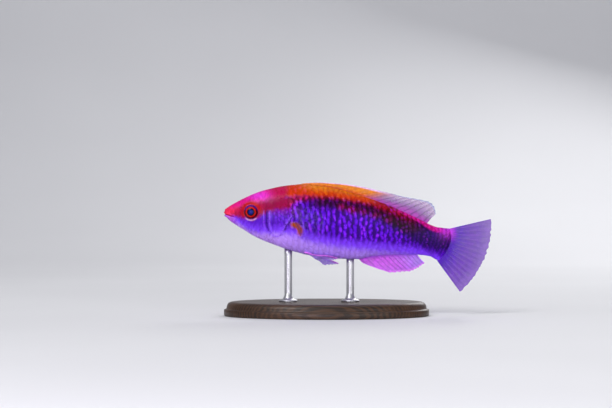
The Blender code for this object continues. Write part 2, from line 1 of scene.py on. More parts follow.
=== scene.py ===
# A fairy wrasse at life size on its stand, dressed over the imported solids.
# Lengths are millimetres in the fish's own frame: x runs from the tip of the snout to the tail,
# z is up from the snout's height, and the fish's left side faces -y.
import math

import bmesh
import bpy
import numpy as np
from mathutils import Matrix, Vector


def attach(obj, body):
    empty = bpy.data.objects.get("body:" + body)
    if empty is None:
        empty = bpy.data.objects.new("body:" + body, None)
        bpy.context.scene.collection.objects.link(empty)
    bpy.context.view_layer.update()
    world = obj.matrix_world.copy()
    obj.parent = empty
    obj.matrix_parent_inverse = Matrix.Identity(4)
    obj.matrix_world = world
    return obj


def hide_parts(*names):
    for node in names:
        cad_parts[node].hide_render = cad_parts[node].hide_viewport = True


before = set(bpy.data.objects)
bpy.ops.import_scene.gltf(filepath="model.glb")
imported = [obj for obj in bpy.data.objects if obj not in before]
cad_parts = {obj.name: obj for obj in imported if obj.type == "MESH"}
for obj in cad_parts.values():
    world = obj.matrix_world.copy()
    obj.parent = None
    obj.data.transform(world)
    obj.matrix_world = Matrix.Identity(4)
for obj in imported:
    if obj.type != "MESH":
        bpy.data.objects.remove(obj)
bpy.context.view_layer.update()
print("frame loaded:", len(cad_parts), "nodes")

mm = 0.001
rng = np.random.default_rng(7)

body = {
    "length": 76.0,
    "snoutHeight": 29.1,  # of the snout's tip over the floor
    "tailSwing": 2.0,  # the tail is carried this far to the fish's right
    "swingStart": 34.0,
    # station, back, belly, half width, and the section's lean towards the tail
    "sections": (
        (0.5, 1.18, -1.05, 1.0, 0),
        (1.6, 1.95, -2.2, 1.55, 0),
        (3.1, 2.83, -3.25, 2.05, 0),
        (5.9, 4.28, -5.0, 2.85, 0),
        (8.5, 5.45, -6.6, 3.45, 0),
        (12.0, 6.65, -8.25, 4.1, 0),
        (17.0, 7.7, -10.1, 4.7, 0),
        (22.0, 8.15, -11.6, 5.0, 0),
        (28.0, 7.6, -12.75, 5.05, 0),
        (34.0, 6.35, -13.1, 4.8, 0),
        (38.0, 5.15, -13.15, 4.4, 0),
        (41.5, 4.1, -12.3, 3.95, 0),
        (48.0, 1.6, -11.87, 3.05, 0.02),
        (54.1, -1.45, -11.88, 2.15, 0.134),
        (58.9, -3.9, -12.25, 1.6, 0.3),
        (62.3, -4.4, -13.7, 1.2, 0.344),
    ),
    "widest": 0.52,  # share of the depth, from the belly, where a section is widest
    "roundness": 2.15,
    "snoutDome": 0.35,
    "tailBulge": 1.6,
    "tailEndWidth": 0.42,
    "bareInset": 0.03,  # bare skin lies this far inside the solids
    "scaledInset": 0.1,  # and skin under scales this far
    "scaledFrom": (9.5, 13.0),  # the one passes into the other between these stations
}


def smoothCurve(knots):
    # the smooth function through (place, value) pairs that doesn't swing past them: cubic pieces,
    # each pair's slope the harmonic mean of the slopes beside it, and level where those change sign
    places, values = np.array(sorted(map(tuple, knots)), float).T
    slopes = np.diff(values) / np.diff(places)
    inner = slopes[:-1] * slopes[1:]
    tangents = np.concatenate([slopes[:1], np.zeros(len(places) - 2), slopes[-1:]])
    tangents[1:-1] = np.where(inner > 0, 2 * inner / np.where(inner > 0, slopes[:-1] + slopes[1:], 1), 0)

    def value(place):
        place = np.clip(place, places[0], places[-1])
        i = np.clip(np.searchsorted(places, place) - 1, 0, len(places) - 2)
        step = places[i + 1] - places[i]
        t = (place - places[i]) / step
        bend = t * t * (3 - 2 * t)
        start = t * (1 - t) ** 2 * step * tangents[i]
        end = t * t * (t - 1) * step * tangents[i + 1]
        return values[i] * (1 - bend) + values[i + 1] * bend + start + end

    return value


def fade(value, low, high):
    # 0 below low, 1 above high, a smooth step between
    t = np.clip((value - low) / (high - low), 0, 1)
    return t * t * (3 - 2 * t)


def fall(value, low, high):
    # the other way round: 1 below low and 0 above high
    return 1 - fade(value, low, high)


def bell(distance, width):
    # 1 at no distance, falling off both ways as exp(-(distance / width) squared)
    return np.exp(-((distance / width) ** 2))


def between(start, end, share):
    # start at share 0, end at share 1, and a straight mix of the two between
    return start + (end - start) * share


def laid(named, paint, *layers):
    # a colour with layers over it in turn, each a colour and its mask; colours may be named ones
    paint = named[paint] if isinstance(paint, str) else paint
    for tint, mask in layers:
        tint = named[tint] if isinstance(tint, str) else tint
        paint = between(paint, tint, np.clip(mask, 0, 1)[..., None])
    return paint


def colour(text):
    # linear light from a hex colour on a screen's scale: straight at first, then the power 2.4
    shown = np.array([int(text[i : i + 2], 16) for i in (1, 3, 5)]) / 255
    return np.where(shown <= 0.04045, shown / 12.92, ((shown + 0.055) / 1.055) ** 2.4)


def palette(texts):
    # names with their colours in linear light, from names with hex colours
    return {name: colour(text) for name, text in texts.items()}


sectionTable = np.array(body["sections"], float)
backLine, bellyLine, halfWidth, sectionLean = (
    smoothCurve(sectionTable[:, (0, column)]) for column in (1, 2, 3, 4)
)
firstStation, lastStation = sectionTable[0, 0], sectionTable[-1, 0]


def swing(x):
    # how far the tail is carried aside, growing with the square of the way behind swingStart
    share = np.clip(x - body["swingStart"], 0, None) / (body["length"] - body["swingStart"])
    return body["tailSwing"] * share**2


def placeInScene(points):
    # from the fish's own straight frame to the scene's metres
    moved = np.array(points, float)
    moved[..., 1] += swing(moved[..., 0])
    return (moved + (-body["length"] / 2, 0, body["snoutHeight"])) * mm


def sectionLevels(station):
    # a section's top, its bottom, and the height where it is widest
    top, bottom = backLine(station), bellyLine(station)
    return top, bottom, bottom + body["widest"] * (top - bottom)


def ovalReach(share):
    # how far a section reaches along one half axis at a share of the other, itself as a share:
    # the two shares raised to the roundness add up to 1
    return (1 - share ** body["roundness"]) ** (1 / body["roundness"])


def bodySurface(station, turn):
    # a superellipse section at each station, turn 0 on the back and growing over the right side,
    # shrunk to a dome at the snout and narrowed to a curved end at the tail
    station, turn = np.broadcast_arrays(np.asarray(station, float), np.asarray(turn, float))
    core = np.clip(station, firstStation, lastStation)
    dome = np.clip((firstStation - station) / body["snoutDome"], 0, 1)
    shrink = np.sqrt(1 - dome**2)
    tail = np.clip((station - lastStation) / body["tailBulge"], 0, 1)
    power = 2 / body["roundness"]
    side = np.sign(np.sin(turn)) * np.abs(np.sin(turn)) ** power
    rise = np.sign(np.cos(turn)) * np.abs(np.cos(turn)) ** power
    top, bottom, level = sectionLevels(core)
    middle = (top + bottom) / 2
    height = np.where(rise > 0, top - level, level - bottom)
    z = middle + (level + height * rise - middle) * shrink
    share = (z - middle) / ((top - bottom) / 2)
    x = core - dome * body["snoutDome"] + sectionLean(core) * (z - middle)
    x = x + body["tailBulge"] * tail * (1 - share**2)
    y = halfWidth(core) * side * shrink * (1 - (1 - body["tailEndWidth"]) * tail**2)
    return np.stack([x, y, z], axis=-1)


def bodyNormal(station, turn):
    # the cross product of short steps along and around the body
    along = bodySurface(station + 0.03, turn) - bodySurface(station - 0.03, turn)
    around = bodySurface(station, turn + 0.01) - bodySurface(station, turn - 0.01)
    facing = np.cross(along, around)
    return facing / np.maximum(np.linalg.norm(facing, axis=-1, keepdims=True), 1e-9)


def flank(x, z):
    # half the body's width at a place on its side, where the sections stand upright
    top, bottom, level = sectionLevels(x)
    reach = np.where(z > level, top - level, level - bottom)
    return halfWidth(x) * ovalReach(np.clip(np.abs(z - level) / reach, 0, 1))


def bellyHeight(x, y):
    # the height of the body's underside at a place seen from below
    bottom, level = sectionLevels(x)[1:]
    return level - (level - bottom) * ovalReach(np.clip(np.abs(y) / halfWidth(x), 0, 1))


def edgePoint(station, side):
    # where the section at a station has its top (side 1) or its bottom (side -1), as x and z
    halfDepth = (backLine(station) - bellyLine(station)) / 2
    z = backLine(station) if side > 0 else bellyLine(station)
    return station + side * sectionLean(station) * halfDepth, z


def gridFaces(rows, columns, wrap=False, flip=False):
    # corner numbers of the cells of a grid of points that is stored row by row
    i, k = np.meshgrid(np.arange(rows - 1), np.arange(columns - (not wrap)), indexing="ij")
    n = (k + 1) % columns
    corners = [i * columns + k, (i + 1) * columns + k, (i + 1) * columns + n, i * columns + n]
    return np.stack(corners[::-1] if flip else corners, axis=-1).reshape(-1, 4)


def ballFaces(rows, columns):
    # a wrapped grid closed by fans to two poles, whose points follow the grid's
    count = rows * columns
    ring, last = np.arange(columns), count - columns
    following = (ring + 1) % columns
    firstFan = np.stack([np.full(columns, count), ring, following], -1)
    lastFan = np.stack([np.full(columns, count + 1), last + following, last + ring], -1)
    return gridFaces(rows, columns, wrap=True).tolist() + firstFan.tolist() + lastFan.tolist()


def circle(steps):
    # even turns once round
    return np.arange(steps) * 2 * math.pi / steps


def makePiece(name, points, faces, material, replaced=(), maps=None, values=None, colours=None):
    # a mesh from points in the fish's frame, its faces turned outwards, with UV maps by corner and
    # values or colours by point
    mesh = bpy.data.meshes.new(name)
    mesh.from_pydata(placeInScene(points).tolist(), [], faces)
    for label, places in (maps or {}).items():
        layer = mesh.uv_layers.new(name=label)
        layer.uv.foreach_set("vector", np.ascontiguousarray(places, np.float32).ravel())
    for label, numbers in (values or {}).items():
        layer = mesh.attributes.new(label, "FLOAT", "POINT")
        layer.data.foreach_set("value", np.ascontiguousarray(numbers, np.float32).ravel())
    for label, tints in (colours or {}).items():
        layer = mesh.attributes.new(label, "FLOAT_COLOR", "POINT")
        rgba = np.concatenate([tints, np.ones((len(tints), 1))], axis=1)
        layer.data.foreach_set("color", np.ascontiguousarray(rgba, np.float32).ravel())
    shell = bmesh.new()
    shell.from_mesh(mesh)
    bmesh.ops.recalc_face_normals(shell, faces=shell.faces)
    shell.to_mesh(mesh)
    shell.free()
    mesh.shade_smooth()
    mesh.update()
    piece = bpy.data.objects.new(name, mesh)
    bpy.context.scene.collection.objects.link(piece)
    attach(piece, "root")
    if replaced:
        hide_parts(*replaced)
    mesh.materials.append(material)


# Finishes

class Finish:
    # a Principled material whose nodes are added and joined by short calls; a source is a number or
    # a colour, which stays on its socket, or another node's output, which is joined to it
    def __init__(self, name, **sources):
        self.material = bpy.data.materials.new(name)
        self.material.use_nodes = True
        self.nodes = self.material.node_tree.nodes
        self.use(**sources)

    def feed(self, socket, source):
        if isinstance(source, (int, float, tuple)):
            socket.default_value = source
        else:
            self.material.node_tree.links.new(source, socket)

    def use(self, **sources):
        # sources for the shader's own sockets, each named with _ for a space
        for label, source in sources.items():
            self.feed(self.nodes["Principled BSDF"].inputs[label.replace("_", " ")], source)

    def add(self, kind, **settings):
        # a node with some of its properties and sockets set
        node = self.nodes.new("ShaderNode" + kind)
        for label, value in settings.items():
            if hasattr(node, label):
                setattr(node, label, value)
            else:
                node.inputs[label.replace("_", " ")].default_value = value
        return node

    def maths(self, operation, first, second=0.0, clamp=False):
        node = self.add("Math", operation=operation, use_clamp=clamp)
        self.feed(node.inputs[0], first)
        self.feed(node.inputs[1], second)
        return node.outputs[0]

    def plus(self, first, second):
        return self.maths("ADD", first, second)

    def minus(self, first, second):
        return self.maths("SUBTRACT", first, second)

    def times(self, first, second, clamp=False):
        return self.maths("MULTIPLY", first, second, clamp)

    def apart(self, source, middle):
        # how far a value lies from a middle one
        return self.maths("ABSOLUTE", self.minus(source, middle))

    def shuffled(self, source, factor):
        # another even spread, from -0.5 to 0.5, made from one that runs from 0 to 1
        return self.minus(self.maths("FRACT", self.times(source, factor)), 0.5)

    def blend(self, share, first, second, way="MIX"):
        node = self.add("Mix", data_type="RGBA", blend_type=way)
        for index, source in ((0, share), (6, first), (7, second)):
            self.feed(node.inputs[index], source)
        return node.outputs[2]

    def step(self, source, low, high, start=0.0, end=1.0):
        # a smooth step of a value from start to end between low and high
        node = self.add("MapRange", interpolation_type="SMOOTHSTEP")
        for index, value in enumerate((source, low, high, start, end)):
            self.feed(node.inputs[index], value)
        return node.outputs[0]

    def attribute(self, name, output="Color"):
        return self.add("Attribute", attribute_name=name).outputs[output]

    def place(self, scale=1000.0, stretch=(1, 1, 1)):
        # object coordinates in metres times scale, so in millimetres by default
        texture = self.add("TexCoord")
        mapping = self.add("Mapping", Scale=tuple(scale * share for share in stretch))
        self.feed(mapping.inputs["Vector"], texture.outputs["Object"])
        return mapping.outputs[0]

    def noise(self, vector, scale, detail=3.0, roughness=0.5):
        node = self.add("TexNoise", Scale=scale, Detail=detail, Roughness=roughness)
        self.feed(node.inputs["Vector"], vector)
        return node.outputs["Fac"]

    def bump(self, height, distance, strength=1.0, under=None):
        # a surface raised by up to distance metres, over another bump where one is given
        node = self.add("Bump", Strength=strength, Distance=distance)
        self.feed(node.inputs["Height"], height)
        if under:
            self.feed(node.inputs["Normal"], under)
        return node.outputs[0]


# The body's skin

face = {
    "mouthFront": (-0.5, -0.15),
    "mouthCorner": (3.0, -1.2),
    "lipRise": 0.17,
    "lipOffset": 0.42,
    "lipSpread": 0.26,
    "cleftDepth": 0.3,
    "cleftWidth": 0.1,
    "foldDepth": 0.07,  # of the bowed fold round the mouth's corner
    "eye": (7.75, 0.28),
    "eyeRadius": 1.85,
    "eyeSink": 0.72,
    "eyeDepth": 1.25,
    "eyeTurn": 4.0,  # degrees towards the snout
    "pitDepth": 0.9,  # of the skin behind the eyeball
    "orbitRise": 0.12,
    "nostrils": ((5.05, 1.55, 0.15), (5.75, 2.3, 0.12)),  # x, z, radius
    "nostrilDepth": 0.24,
    "nostrilRim": 0.035,
    "throatDepth": 0.1,
    "throatHeight": 1.0,  # of the throat line over the belly line
}
gill = {
    "centre": (16.5, -0.9),
    # turn in degrees, from the tail round by the back, and reach
    "outline": (
        (16, 3.96), (42, 4.6), (64, 5.46), (86, 5.81), (110, 5.44), (143, 4.28), (181, 3.8),
        (223, 4.81), (246, 6.45), (258, 6.24), (275, 4.22), (297, 2.82), (344, 2.6),
    ),
    "rise": 0.2,
    "slitDepth": 0.2,
    "slitWidth": 0.5,
    "creaseDepth": 0.1,
    "ridgeRise": 0.1,  # of the cheek's rear edge, beside the crease
}
pad = {
    "top": (19.9, -2.9),  # ends of the pectoral fin's root, as x and z
    "foot": (21.5, -6.3),
    "rise": 0.28,
    "spread": 1.1,
    "bare": ((19.7, -3.2), (21.2, -6.2)),  # the middle of the part left bare of scales
    "bareReach": 1.15,
}
gillCurve = smoothCurve(
    [(turn + lap, reach) for lap in (-360, 0, 360) for turn, reach in gill["outline"]]
)


def gillDistance(x, z):
    # how far a place lies outside the gill cover's outline, its turn, and its share of the reach
    x, z = x - gill["centre"][0], z - gill["centre"][1]
    turn = np.arctan2(z, x)
    reach = gillCurve(np.degrees(turn) % 360)
    distance = np.hypot(x, z)
    return distance - reach, turn, distance / reach


def segmentDistance(x, z, start, end):
    # distance from the straight line between two places
    along = np.subtract(end, start)
    share = ((x - start[0]) * along[0] + (z - start[1]) * along[1]) / (along @ along)
    share = np.clip(share, 0, 1)
    return np.hypot(x - start[0] - share * along[0], z - start[1] - share * along[1])


def mouthHeight(x, z):
    # how far a place lies over the line of the mouth
    (frontX, frontZ), (cornerX, cornerZ) = face["mouthFront"], face["mouthCorner"]
    return z - frontZ - (cornerZ - frontZ) / (cornerX - frontX) * (x - frontX)


def eyeDistance(x, z):
    # distance from the eye's middle, seen from the side
    return np.hypot(x - face["eye"][0], z - face["eye"][1])


def faceRelief(x, z):
    # lips and the cleft between them, the fold at the mouth's corner, nostrils, orbit and throat
    cornerX, cornerZ = face["mouthCorner"]
    fromMouth = mouthHeight(x, z)
    fleshy = fall(x, cornerX - 1.6, cornerX + 0.1)
    lips = face["lipRise"] * bell(np.abs(fromMouth) - face["lipOffset"], face["lipSpread"]) * fleshy
    cleft = face["cleftDepth"] * bell(fromMouth, face["cleftWidth"]) * fall(x, 2.3, 3.1)
    fromCorner = np.hypot(x - cornerX + 0.5, z - cornerZ)
    fold = face["foldDepth"] * bell(fromCorner - 1.0, 0.16) * fade(x, 2.6, 3.2)
    relief = lips - cleft - fold
    for nostrilX, nostrilZ, radius in face["nostrils"]:
        off = np.hypot(x - nostrilX, z - nostrilZ)
        rim = face["nostrilRim"] * bell(off - 1.9 * radius, 0.1)
        relief = relief - face["nostrilDepth"] * bell(off, radius) + rim
    fromEye = eyeDistance(x, z)
    relief = relief - face["pitDepth"] * fall(fromEye, face["eyeRadius"] - 0.15, face["eyeRadius"] + 0.25)
    relief = relief + face["orbitRise"] * bell(fromEye - face["eyeRadius"] - 0.35, 0.3)
    throatLine = bellyLine(x) + face["throatHeight"]
    throat = face["throatDepth"] * bell(z - throatLine, 0.15) * fade(x, 6.5, 8.5) * fall(x, 13.4, 14.4)
    return relief - throat


def coverRelief(x, z, slitted=True):
    # the gill cover's plate, the slit behind it, and the crease and ridge of the cheek before it
    outside, turn, share = gillDistance(x, z)
    front = fade(-np.cos(turn), 0.35, 0.65)
    closed = fade(np.sin(turn), 0.66, 0.95)  # the slit ends at the cover's upper corner
    rear = (0.3 + 0.7 * fade(np.cos(turn), -0.5, 0.6)) * (1 - closed)
    edge = 0.1 + 0.5 * fade(-np.cos(turn), -0.3, 0.3)  # how softly the plate falls off
    plate = gill["rise"] * share**2 * rear * fall(outside, -edge, edge)
    cheek = front * fall(z, 0.2, 1.6)
    ridge = gill["ridgeRise"] * cheek * bell(outside - 0.55, 0.35)
    if not slitted:
        return plate + ridge
    slit = gill["slitDepth"] * (1 - front) * (1 - closed) * fade(z, -7.6, -5.2)
    slit = slit * fade(outside, -0.1, 0.16) * bell(outside, gill["slitWidth"])
    crease = gill["creaseDepth"] * cheek * bell(outside, 0.14)
    return plate + ridge - slit - crease


def padRelief(x, z):
    # the low swelling that carries the pectoral fin
    return pad["rise"] * bell(segmentDistance(x, z, pad["top"], pad["foot"]), pad["spread"])


def skinRelief(x, z):
    # all that stands out of the plain body or is sunk into it
    return faceRelief(x, z) + coverRelief(x, z) + padRelief(x, z)


def headScaleRelief(x, z):
    # what head scales follow of it: the gill cover's plate and the cheek's ridge
    return coverRelief(x, z, slitted=False)


def skinInset(x):
    # how far the skin lies inside the solids: more where scales cover it
    return between(body["bareInset"], body["scaledInset"], fade(x, *body["scaledFrom"]))


def skinPoint(station, turn, height=0.0, relief=skinRelief):
    # a point over the skin: the plain body, a relief and a height, all along the outward normal
    plain = bodySurface(station, turn)
    lift = relief(plain[..., 0], plain[..., 2]) - skinInset(plain[..., 0]) + height
    return plain + bodyNormal(station, turn) * lift[..., None]


# Colours of the body

hues = palette(
    {
        "violet": "#5600d0",
        "lavender": "#8440ff",
        "paleBelly": "#b88cff",
        "throat": "#c89aff",
        "deepViolet": "#28005a",
        "maroon": "#3a0030",
        "orangeLow": "#c83000",
        "orangeTop": "#e08400",
        "crimson": "#9c061e",
        "magenta": "#d81490",
        "orchid": "#b834cc",
        "pink": "#dc1484",
        "brightPinkAndHighlight": "#ee40e4",
        "wine": "#940040",
        "plum": "#7804a0",
        "rose": "#b40848",
        "snoutRed": "#ee2c54",
        "lowerLip": "#c468e8",
        "orbitRed": "#b80c10",
        "orbitHighlight": "#ecb4e0",
        "cheek": "#5c16c4",
        "stripeDark": "#2c0078",
        "paleStripeAndHighlight": "#9a5cff",
        "fleck": "#8620ff",
        "fleckOrange": "#ec9000",
        "fleckRose": "#e42c90",
        "finBase": "#bc5000",
        "finBaseEdge": "#d88860",
        "slit": "#240050",
    }
)
# edges of the markings: height at each station
markings = {
    name: smoothCurve(knots)
    for name, knots in {
        "lavenderTop": (
            (0, -0.9), (4, -1.3), (5.5, -2.1), (8, -3.5), (12, -4.0), (16, -3.9), (20, -4.3),
            (25, -5.9), (34, -7.6), (44, -8.6), (54, -9.9), (60, -12.0), (66, -16),
        ),
        "redBottom": (
            (0, -0.4), (3, -0.9), (6, -1.3), (8.5, -1.9), (10, -1.1), (11.5, -0.3), (15, 1.0),
            (18.2, 1.2), (20, 2.9), (25, 3.7),
        ),
        "pinkBottom": ((0, 0.9), (4, 1.7), (8, 2.9), (11, 3.7), (16, 4.4), (20, 5.6)),
        "orangeBottom": (
            (15, 4.2), (20.5, 4.6), (24, 4.8), (27.3, 4.6), (30.7, 4.5), (34, 3.9), (37.5, 3.4),
            (41, 2.7), (44, 1.9), (48, 1.0), (52, -0.7),
        ),
        "darkBottom": (
            (30, 3.4), (36, 1), (42, -1.8), (50, -6.0), (54, -8.7), (58, -10.6), (61.5, -11.3), (66, -11),
        ),
    }.items()
}
# crimson patches under the orange back: x, z, half length, half height, strength
patches = (
    (33.4, 1.7, 1.3, 0.8, 0.7),
    (36.2, 0.8, 1.5, 0.9, 0.8),
    (39.4, 0.2, 1.2, 0.7, 0.6),
    (42.4, -0.7, 1.4, 0.7, 0.5),
    (46.2, -2.0, 1.2, 0.8, 0.35),
)
# painted highlights on edges behind the gill cover, as pale strokes: start, end, width, strength
edgeHighlights = (
    ((20.0, 1.6), (20.8, -1.1), 0.24, 0.9),
    ((21.0, 1.2), (21.5, -0.6), 0.2, 0.8),
    ((20.4, 3.4), (20.7, 2.4), 0.2, 0.6),
    ((21.8, 3.3), (22.2, 0.5), 0.18, 0.55),
    ((21.2, -1.4), (22.4, -3.1), 0.2, 0.6),
    ((22.4, -3.1), (23.0, -6.0), 0.2, 0.6),
)
finMark = ((19.6, -3.3), (20.8, -3.5), (21.5, -4.5), (21.5, -5.7))  # the middle of the orange mark


def bodyPaint(x, z, underBack):
    # violet first, then each marking over it where its mask lets it show; underBack is the way
    # down from the back line
    paint = np.broadcast_to(hues["violet"], x.shape + (3,)).copy()
    # markings have wandering edges: every line is read at a height shifted by three crossed waves
    straight, drift = z, 0.16 * np.sin(2.3 * x + 1.7 * z) + 0.12 * np.sin(5.1 * x - 3.7 * z + 1)
    z = z + drift + 0.08 * np.sin(9.7 * x + 8.3 * z + 2)

    def lay(tint, mask):
        # one more colour over what is painted so far
        paint[...] = laid(hues, paint, (tint, mask))

    # belly, dark tail half and orange back
    lavenderTop = markings["lavenderTop"](x)
    lay("cheek", fall(x, 17, 21) * 0.8)
    lay("lavender", fall(z, lavenderTop - 1.5, lavenderTop + 1.5))
    lay("paleBelly", fall(z, lavenderTop - 3.6, lavenderTop - 1.0))
    lay("throat", fall(z, lavenderTop - 3.2, lavenderTop - 0.6) * fall(x, 12, 26) * 0.85)
    darkBottom = markings["darkBottom"](x)
    lay("deepViolet", 0.94 * fade(x, 34, 50) * fade(z, darkBottom - 1.4, darkBottom + 1.8))
    orangeBottom = markings["orangeBottom"](x)
    deeper = 1.6 * fade(x, 42, 50)
    shadow = fade(z, orangeBottom - 4.4 - deeper, orangeBottom - 2.0 - deeper)
    lay("maroon", 0.94 * shadow * fade(x, 21, 27) * fall(x, 53, 60))
    for patchX, patchZ, length, height, strength in patches:
        lay("crimson", strength * bell(np.hypot((x - patchX) / length, (z - patchZ) / height), 1))
    lay("crimson", 0.8 * bell(z - orangeBottom + 0.2, 0.5) * fade(x, 16.5, 20) * fall(x, 46, 52))
    upper = fade(z, orangeBottom - 0.5, orangeBottom + 0.6)
    orange = laid(hues, "orangeLow", ("orangeTop", fade(z - orangeBottom, 0.5, 3.4)))
    orange = laid(hues, "orangeLow", (orange, fade(x, 19, 27)))
    lay(orange, upper * fade(x, 13, 15) * fall(x, 42, 48))
    lay("crimson", bell(underBack - 0.9, 1.3) * fade(x, 40, 44) * fall(x, 49, 56))
    wider = 0.6 * fade(x, 52, 60)
    lay("magenta", fall(underBack, 0.4 + wider, 1.2 + wider) * fade(x, 46.5, 51))
    lay("orchid", bell(np.hypot((x - 63.1) / 2.2, (z + 5.0) / 2.0), 1))

    # shoulder, the red and pink of the head's upper half, and a painted highlight on the top of the head
    shoulder = fade(x, 11, 14) * fall(x, 19.5, 22.5)
    lay("plum", 0.75 * fade(z, -1.2, 0.6) * shoulder * fall(z, 3.6, 4.4))
    redBottom, pinkBottom = markings["redBottom"](x), markings["pinkBottom"](x)
    low = 0.7 * fall(z, -0.6, 1.2) * fade(x, 1.5, 3.5)
    wine = np.maximum(low, fade(x, 9.5, 12.5))
    red = laid(hues, "snoutRed", ("rose", fade(x, 2, 5)), ("wine", wine))
    reddened = fade(z, redBottom - 0.8, redBottom + 0.8) * fall(x, 23.5, 26)
    behindHead = fade(x, 16.3, 18.8)
    lay(red, reddened * (1 - behindHead * fade(z, orangeBottom - 0.6, orangeBottom + 0.2)))
    pink = laid(hues, "pink", ("rose", fade(x, 11.5, 14.5)))
    lay(pink, fade(z, pinkBottom - 0.9, pinkBottom + 0.8) * (1 - behindHead))
    # a brighter pink on the top of the head, partly its own colour and partly a painted highlight
    lay("brightPinkAndHighlight", 0.8 * bell(np.hypot((x - 9.9) / 2.9, (z - 4.9) / 1.3), 1))

    # small marks that follow the relief: lips, painted shade in the mouth's cleft and the nostrils, orbit
    # with a painted highlight under the eye, cheek, gill slit with painted shade in it and painted
    # highlights on the gill cover's edges, and fin base
    z = straight
    fromMouth = mouthHeight(x, z)
    lay("snoutRed", fall(x, 0.6, 3.6) * fade(fromMouth, -0.1, 0.1) * 0.9)
    lay("lowerLip", fall(x, 1.6, 4.6) * fall(fromMouth, -0.2, 0.0))
    # painted shade: a dark line along the mouth's cleft
    lay("wine", 0.7 * bell(fromMouth, 0.1) * fall(x, 2.4, 3.1))
    # painted shade in the sunk nostrils
    for nostrilX, nostrilZ, radius in face["nostrils"]:
        lay("maroon", 0.85 * bell(np.hypot(x - nostrilX, z - nostrilZ), radius))
    fromEye = eyeDistance(x, z)
    around = np.arctan2(z - face["eye"][1], x - face["eye"][0])
    lay("orbitRed", bell(fromEye - 2.5, 0.62) * fade(np.sin(around - 0.35), -0.75, 0.1))
    # a painted highlight: a pale crescent on the fold under the eye
    lay("orbitHighlight", 0.75 * bell(fromEye - 2.3, 0.2) * fade(-np.sin(around), 0.62, 0.9))
    lay("wine", 0.5 * bell(x - 5.15, 0.16) * bell(z - 0.8, 1.6))
    outside, turn = gillDistance(x, z)[:2]
    front = fade(-np.cos(turn), 0.35, 0.65) * fall(z, 0.0, 1.2) * fade(z, -6.0, -4.2)
    lay("stripeDark", 0.9 * front * bell(outside - 0.5, 0.3) + 0.45 * front * bell(outside + 1.25, 0.3))
    lay("paleStripeAndHighlight", 0.85 * front * bell(outside + 0.3, 0.24) + 0.5 * front * bell(outside - 1.4, 0.2))
    behind = fall(-np.cos(turn), 0.35, 0.65) * fall(np.sin(turn), 0.66, 0.95)
    # a painted highlight along the gill cover's rear edge, just inside it
    lay("paleStripeAndHighlight", 0.75 * behind * bell(outside + 0.45, 0.28) * fall(z, -1.2, 0.5))
    # painted shade in the gill slit behind the cover
    lay("slit", 0.9 * behind * fade(z, -6.2, -4.4) * bell(outside - 0.05, 0.24) * fall(z, -1.6, 0.2))
    # painted highlights on edges behind the gill cover
    for start, end, width, strength in edgeHighlights:
        lay("paleStripeAndHighlight", strength * bell(segmentDistance(x, z, start, end), width))
    crescent = np.min([segmentDistance(x, z, *ends) for ends in zip(finMark, finMark[1:])], axis=0)
    lay("finBaseEdge", 0.4 * bell(crescent - 0.68, 0.2))
    lay("finBase", fall(crescent, 0.48, 0.72) * fade(z, -6.4, -5.2))
    return paint


def fleckPaint(x, z, paint):
    # the colour of a scale's bright fleck: violet on the flank, yellow on the orange back
    orangeBottom, redBottom = markings["orangeBottom"](x), markings["redBottom"](x)
    lavenderTop, darkBottom = markings["lavenderTop"](x), markings["darkBottom"](x)
    upper = fade(z, orangeBottom - 0.6, orangeBottom + 0.6) * fade(x, 13.5, 16)
    low = fall(z, lavenderTop - 2.0, lavenderTop + 0.5)
    head = fall(x, 16, 20) * fade(z, 0.2, 1.6)
    head = np.maximum(head, fade(z, redBottom - 0.4, redBottom + 0.6) * fall(x, 23.5, 26))
    pale = hues["paleBelly"] * 1.1
    onOrange = upper * fall(x, 40, 46)
    fleck = laid(hues, "fleck", (pale, low), ("fleckOrange", onOrange), ("fleckRose", head))
    band = fade(z, orangeBottom - 4.4, orangeBottom - 1.8) * (1 - upper) * fade(x, 21, 27)
    dark = fade(z, darkBottom - 1.0, darkBottom + 1.4) * fade(x, 32, 40) * (1 - upper)
    dim = np.maximum(fade(x, 42, 56) * (1 - low), np.maximum(band, dark))
    return between(fleck, paint, (0.12 + 0.66 * dim)[..., None])


def fleckContrast(x, z):
    # how strongly flecks and the painted shade between them show: most on the flank, little elsewhere
    flank = fade(z, markings["lavenderTop"](x) - 1.0, markings["lavenderTop"](x) + 1.6)
    orangeBottom = markings["orangeBottom"](x)
    onBack = fade(z, orangeBottom - 0.6, orangeBottom + 0.4) * fall(x, 44, 50)
    share = between(0.18, 1.0, flank)
    share = between(share, 0.22, onBack)
    share = share * (1 - 0.45 * fade(x, 50, 58))
    share = between(share, 0.22, fall(x, 17, 20) * fade(z, -0.2, 1.2))
    return share * (1 - 0.62 * fall(x, 16.5, 20))


# Skin mesh

skin = {
    "around": 236,
    # rings of the snout's dome, lips, head, trunk and curved tail end, and where they change over
    "dome": 14,
    "lips": 62,
    "head": 250,
    "trunk": 70,
    "tailEnd": 8,
    "lipsEnd": 4,
    "headEnd": 22,
    "unwrap": 68.0,  # the length that the UV map spans
    "mapStart": 0.005,  # the snout's place on the map
    "mapReach": 0.49,  # half the girth on the map
    "strip": (0.01, 0.02),  # the tail's strips lie this far behind the rest on the map, this wide
    "girthAt": 30.0,  # the station whose girth spaces the points round the body
    "domeTurn": 85,  # degrees from the dome's foot to its first ring
    "tipRise": 0.02,  # how far the pole on the lips stands before that ring
}


def arcShares(samples=721):
    # turns from the back to the belly, and the share of half the girth that lies above each
    turns = np.linspace(0, math.pi, samples)
    points = bodySurface(np.full(samples, skin["girthAt"]), turns)
    lengths = np.concatenate([[0], np.cumsum(np.linalg.norm(np.diff(points, axis=0), axis=1))])
    return turns, lengths / lengths[-1]


arcTurns, arcLengths = arcShares()


def turnAt(share):
    # the turn that has a share of half the girth above it
    return np.interp(share, arcLengths, arcTurns)


